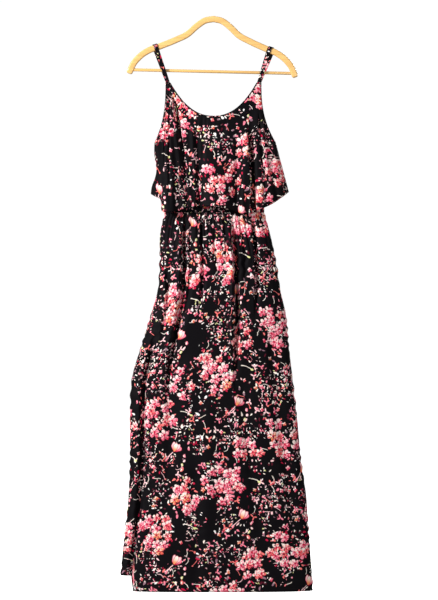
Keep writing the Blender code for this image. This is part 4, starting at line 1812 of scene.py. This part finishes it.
@dataclass
class Straps:
    """The two narrow straps, each up from the front, over the bow and down to the back.

    Attributes:
        out: How far from the middle each lies on the bow.
        width, wall: A strap's size.
        strip: How wide a strip of the print it shows.
        half_wall: From its inner face to its middle, its bulge among it.
        bulge: How much thinner it is at its edges.
        clear: How far it keeps off the bow.
        rounding: The bow's rounded edge.
        skew: How far each runs sideways on the bow.
    """

    edges: Edges
    bow: BowLine
    out: float = 0.148
    width: float = 0.0108
    wall: float = 0.0012
    strip: float = 0.014
    half_wall: float = 0.00075
    bulge: float = 0.0003
    clear: float = 0.0004
    rounding: float = 0.003
    skew: dict = field(default_factory=lambda: {"left": 0.004, "right": 0.009})
    columns: int = 9

    def over_bow(self) -> Points:
        """Returns the run over the bow's board as up and deep, from its front face to its back one."""
        reach = self.rounding + self.clear + self.half_wall
        rise, flat = self.bow.height / 2 - self.rounding, self.bow.board / 2 - self.rounding
        corner = np.radians(np.linspace(0, 90, 9))
        side, top = reach * np.cos(corner), reach * np.sin(corner)
        front = np.stack([rise + top, -flat - side], axis=1)
        back = np.stack([rise + top, flat + side], axis=1)[::-1]
        below = -self.bow.height / 2
        return np.concatenate([[[below, front[0, 1]]], front, back, [[below, back[-1, 1]]]])

    def line(self, hand: int, name: str) -> tuple:
        """Returns a strap's middle points and the directions of its width.

        Args:
            hand: -1 for the left strap and 1 for the right one.
            name: left or right.
        """
        ends = self.bow.tilted(self.bow.centre([hand * self.out, hand * self.out + self.width / 10]))
        middle, along = ends[0], (ends[1] - ends[0]) / np.linalg.norm(ends[1] - ends[0])
        up = np.array([-along[1], along[0]])
        run = self.over_bow()
        skew = hand * self.skew[name] * (np.linspace(0, 1, len(run)) - 0.25)
        flat = middle + run[:, :1] * up + skew[:, None] * along
        over = np.stack([flat[:, 0], run[:, 1], flat[:, 1]], axis=1)
        e = self.edges
        across = hand * (e.strap_out + e.strap_in) / 2
        apex = np.array([across, e.strap_forward - e.cloth_middle, e.strap_top + SEAM_GAP])
        front = apex * [1, -1, 1]
        down = np.linspace(0, 1, 28)[:-1, None]
        rising = front + (over[0] - front) * down
        falling = (apex + (over[-1] - apex) * down)[::-1]
        points = np.concatenate([rising, over, falling])
        tangent = np.array([along[0], 0, along[1]])
        near_bow = np.clip((points[:, 2] - apex[2]) / (over[0][2] - apex[2]), 0, 1)[:, None]
        wide = np.array([1.0, 0, 0]) + (tangent - [1.0, 0, 0]) * near_bow
        return points, unit(wide)

    def build(self, cloth: bpy.types.Material) -> None:
        """Builds both straps.

        Args:
            cloth: Their material.
        """
        for hand, name, cut_at in ((-1, "left", (0.118, 0.052)), (1, "right", (0.006, 0.100))):
            points, wide = self.line(hand, name)
            along = lengths(points)
            share = np.linspace(-0.5, 0.5, self.columns)
            facing = unit(np.cross(np.gradient(points, axis=0), wide))
            outward = np.sign((facing * [0, -1, 1]).sum(-1))[:, None, None]
            bulge = -self.bulge * (2 * share) ** 2
            grid = points[:, None] + wide[:, None] * (share * self.width)[None, :, None]
            grid = grid - facing[:, None] * bulge[None, :, None] * outward
            flat = np.stack(np.broadcast_arrays(share[None] * self.strip, along[:, None]), axis=-1)
            sheet = Cloth(f"strap_{name}_cloth", grid[::-1], flat[::-1] + cut_at, self.wall, inwards=False)
            piece = sheet.build(cloth)
            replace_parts(piece, f"strap_{name}")
            log.info("strap_%s: %.3f m", name, along[-1])


@dataclass
class Hanger:
    """The bent wooden bow and the bar between its ends.

    Attributes:
        sections: How many lengths each half of the bow is bent in.
        rounding: How round the bow's long edges are.
        crown: The straight length at its crown.
        tip_rounds: How far on and how much narrower each step of a rounded tip is.
        bar_radius, bar_half: The bar's size.
        bar_below: How far below the bow's line at the crown it lies.
    """

    bow: BowLine
    sections: int = 46
    rounding: float = 0.0036
    crown: float = 0.004
    tip_rounds: tuple = ((0.0020, 0.90), (0.0016, 0.80), (0.0008, 0.60))
    bar_radius: float = 0.004
    bar_half: float = 0.2075
    bar_below: float = 0.1365

    def start_section(self) -> bpy.types.Object:
        """Adds a short rounded block at the crown, its ends facing along the bow."""
        deselect()
        middle = (0, 0, self.bow.middle)
        bpy.ops.mesh.primitive_cube_add(size=1, location=middle)
        piece = bpy.context.active_object
        piece.name = piece.data.name = "bow_of_wood"
        bpy.ops.object.mode_set(mode="EDIT")
        bpy.ops.transform.resize(value=(self.crown, self.bow.board, self.bow.height), center_override=middle)
        bpy.ops.object.mode_set(mode="OBJECT")
        bpy.ops.object.transform_apply(location=True, rotation=True, scale=True)
        bpy.ops.object.mode_set(mode="EDIT")
        pick(piece, "EDGE", lambda edge: abs(edge.verts[0].co.x - edge.verts[1].co.x) > self.crown / 4)
        bpy.ops.mesh.bevel(offset=self.rounding, segments=5, affect="EDGES")
        return piece

    def end_face(self, piece: bpy.types.Object, hand: int) -> None:
        """Selects the end that the block at the crown has on one side.

        Args:
            piece: The block.
            hand: -1 for the left end and 1 for the right one.
        """
        end, close = hand * self.crown / 2, 0.0002
        pick(
            piece,
            "FACE",
            lambda face: face.normal.x * hand > 0.9 and abs(face.calc_center_median().x - end) < close,
        )

    def draw_out(self, hand: int) -> None:
        """Extrudes the selected end along one half of the bow and rounds its tip off.

        Args:
            hand: -1 for the left half and 1 for the right one.
        """
        line = self.bow.centre(hand * np.linspace(0, self.bow.drop[-1]["out"], 400))
        line = np.stack([line[:, 0], np.zeros(len(line)), line[:, 1]], axis=1)
        line = spaced(line, np.linspace(0, 1, self.sections + 1))
        line[0, 0] = hand * self.crown / 2
        run = np.gradient(line, axis=0) * hand
        slope = np.arctan2(run[:, 2], run[:, 0])
        slope[0] = 0.0
        for i in range(1, len(line)):
            bpy.ops.mesh.extrude_region_move(TRANSFORM_OT_translate={"value": tuple(line[i] - line[i - 1])})
            bpy.ops.transform.rotate(
                value=float(slope[i] - slope[i - 1]), orient_axis="Y", center_override=tuple(line[i])
            )
        ahead = np.array([math.cos(slope[-1]), 0, math.sin(slope[-1])]) * hand
        place = line[-1]
        for step, narrower in self.tip_rounds:
            place = place + ahead * step
            bpy.ops.mesh.extrude_region_move(TRANSFORM_OT_translate={"value": tuple(ahead * step)})
            bpy.ops.transform.resize(value=(narrower,) * 3, center_override=tuple(place))

    def tilt(self) -> None:
        """Turns the piece that is being edited about the mount, as the hanger hangs, and closes the edit."""
        bpy.ops.mesh.select_all(action="SELECT")
        bpy.ops.transform.rotate(value=-self.bow.tilt, orient_axis="Y", center_override=(0, 0, 0))
        bpy.ops.object.mode_set(mode="OBJECT")
        bpy.ops.object.shade_smooth_by_angle(angle=math.radians(40))

    def finish(self, piece: bpy.types.Object, wood: bpy.types.Material, node: str) -> None:
        """Gives a wooden piece its material and its place in the part.

        Args:
            piece: The piece.
            wood: Its material.
            node: The solid that it stands for.
        """
        piece.data.materials.clear()
        piece.data.materials.append(wood)
        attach(piece, BODY)
        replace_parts(piece, node)
        log.info("%s", piece.name)

    def build(self, wood: bpy.types.Material) -> None:
        """Models the bow and the bar.

        Args:
            wood: Their material.
        """
        piece = self.start_section()
        for hand in (1, -1):
            self.end_face(piece, hand)
            self.draw_out(hand)
        self.tilt()
        self.finish(piece, wood, "hanger_bow")
        deselect()
        bpy.ops.mesh.primitive_cylinder_add(
            vertices=32, radius=self.bar_radius, depth=2 * self.bar_half,
            location=(0, 0, self.bow.middle - self.bar_below), rotation=(0, math.pi / 2, 0),
        )
        bar = bpy.context.active_object
        bar.name = bar.data.name = "bar_of_wood"
        bpy.ops.object.transform_apply(location=True, rotation=True, scale=True)
        bpy.ops.object.mode_set(mode="EDIT")
        pick(bar, "FACE", lambda face: abs(face.normal.x) > 0.9)
        bpy.ops.mesh.bevel(offset=0.0004, segments=2, affect="EDGES")
        self.tilt()
        self.finish(bar, wood, "hanger_bar")


@dataclass
class Studio:
    """The pale floor, the soft light and the camera.

    Attributes:
        scale: Metres for each of the photo's pixels at the hanger.
        height_px: The photo's height.
        middle: The point at the middle of the photo, across and up.
        lens: The camera's focal length in millimetres.
        floor_drop: How far below the hem the floor lies.
        room_light, room_seen: How brightly the room lights, and how bright it looks.
    """

    scale: float = 0.0026
    height_px: int = 600
    middle: tuple = (0.0143, -0.7223)
    lens: float = 150.0
    floor_drop: float = 0.09
    room_light: float = 0.30
    room_seen: float = 1.02

    def floor(self, hem: float) -> None:
        """Lays the pale floor below the hem.

        Args:
            hem: The hem's height.
        """
        deselect()
        bpy.ops.mesh.primitive_plane_add(size=30, location=(0, 0, hem - self.floor_drop))
        floor = bpy.context.active_object
        floor.name = "floor"
        n = Nodes("floor_paint")
        place = n.add("ShaderNodeTexCoord").outputs["Object"]
        white = (1.0, 1.0, 1.0, 1.0)
        n.fill(n.shader, {
            "Base Color": n.mix(n.noise(place, 3.0), (0.93, 0.93, 0.93), (0.97, 0.97, 0.97)),
            "Roughness": 0.9,
            "Emission Color": white,
            "Emission Strength": 0.85,
        })
        floor.data.materials.append(n.material)
        floor.visible_diffuse = False
        floor.visible_glossy = False
        floor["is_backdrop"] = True

    def lamp(self, name: str, place: tuple, aim: tuple, size: float, power: float) -> None:
        """Hangs a soft square light.

        Args:
            name: Its name.
            place: Where it hangs.
            aim: What it is turned to.
            size: Its width.
            power: Its power in watts.
        """
        data = bpy.data.lights.new(name, "AREA")
        data.size, data.energy = size, power
        lamp = bpy.data.objects.new(name, data)
        lamp.location = place
        lamp.rotation_euler = (Vector(aim) - Vector(place)).to_track_quat("-Z", "Y").to_euler()
        bpy.context.scene.collection.objects.link(lamp)

    def light(self) -> None:
        """Sets the white room, which lights softly, and the lamps that shape the folds."""
        scene = bpy.context.scene
        scene.view_settings.view_transform = "Standard"
        scene.view_settings.look = "None"
        world = bpy.data.worlds.new("white_room")
        scene.world = world
        world.use_nodes = True
        room = Graph(world.node_tree)
        seen = room.add("ShaderNodeLightPath").outputs["Is Camera Ray"]
        values = {"Value": seen, "To Min": self.room_light, "To Max": self.room_seen}
        level = room.add("ShaderNodeMapRange", values).outputs["Result"]
        room.fill(room.tree.nodes["Background"], {"Color": (1.0, 1.0, 1.0, 1.0), "Strength": level})
        self.lamp("key", (-2.9, -2.1, 0.7), (0, 0, -0.75), 0.6, 190)
        self.lamp("fill", (1.6, -3.2, -0.2), (0, 0, -0.8), 1.4, 30)
        self.lamp("back", (1.2, 3.0, 0.5), (0, 0, -0.75), 1.2, 75)

    def camera(self) -> None:
        """Sets the camera at the photo's height and distance."""
        data = bpy.data.cameras.new("camera")
        data.lens = self.lens
        data.sensor_width = 36.0
        distance = self.scale * self.height_px * self.lens / data.sensor_width
        camera = bpy.data.objects.new("camera", data)
        camera.location = (self.middle[0], -distance, self.middle[1])
        camera.rotation_euler = (math.pi / 2, 0, 0)
        bpy.context.scene.collection.objects.link(camera)
        bpy.context.scene.camera = camera


def main() -> None:
    """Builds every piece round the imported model."""
    logging.basicConfig(level=logging.INFO, format="%(message)s")
    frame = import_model()
    cad_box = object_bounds()
    edges, waist = Edges(), Waist()
    log.info("%d packed pieces", len(frame["nodes"]))
    chart = PrintChart(Repeat())
    cloth = printed_cloth("printed_cloth", Weave.CREPE, chart)
    Skirt(waist).build(cloth)
    Casing(waist).build(cloth)
    edging = Trim(edges).build(printed_cloth("binding", Weave.ROLLED, chart))
    HungPanels(edges, waist).build(cloth, edging)
    bow = BowLine()
    Straps(edges, bow).build(cloth)
    Hanger(bow).build(Wood().material())
    studio = Studio()
    studio.floor(cad_box[0][2])
    studio.light()
    studio.camera()


if __name__ == "__main__":
    main()
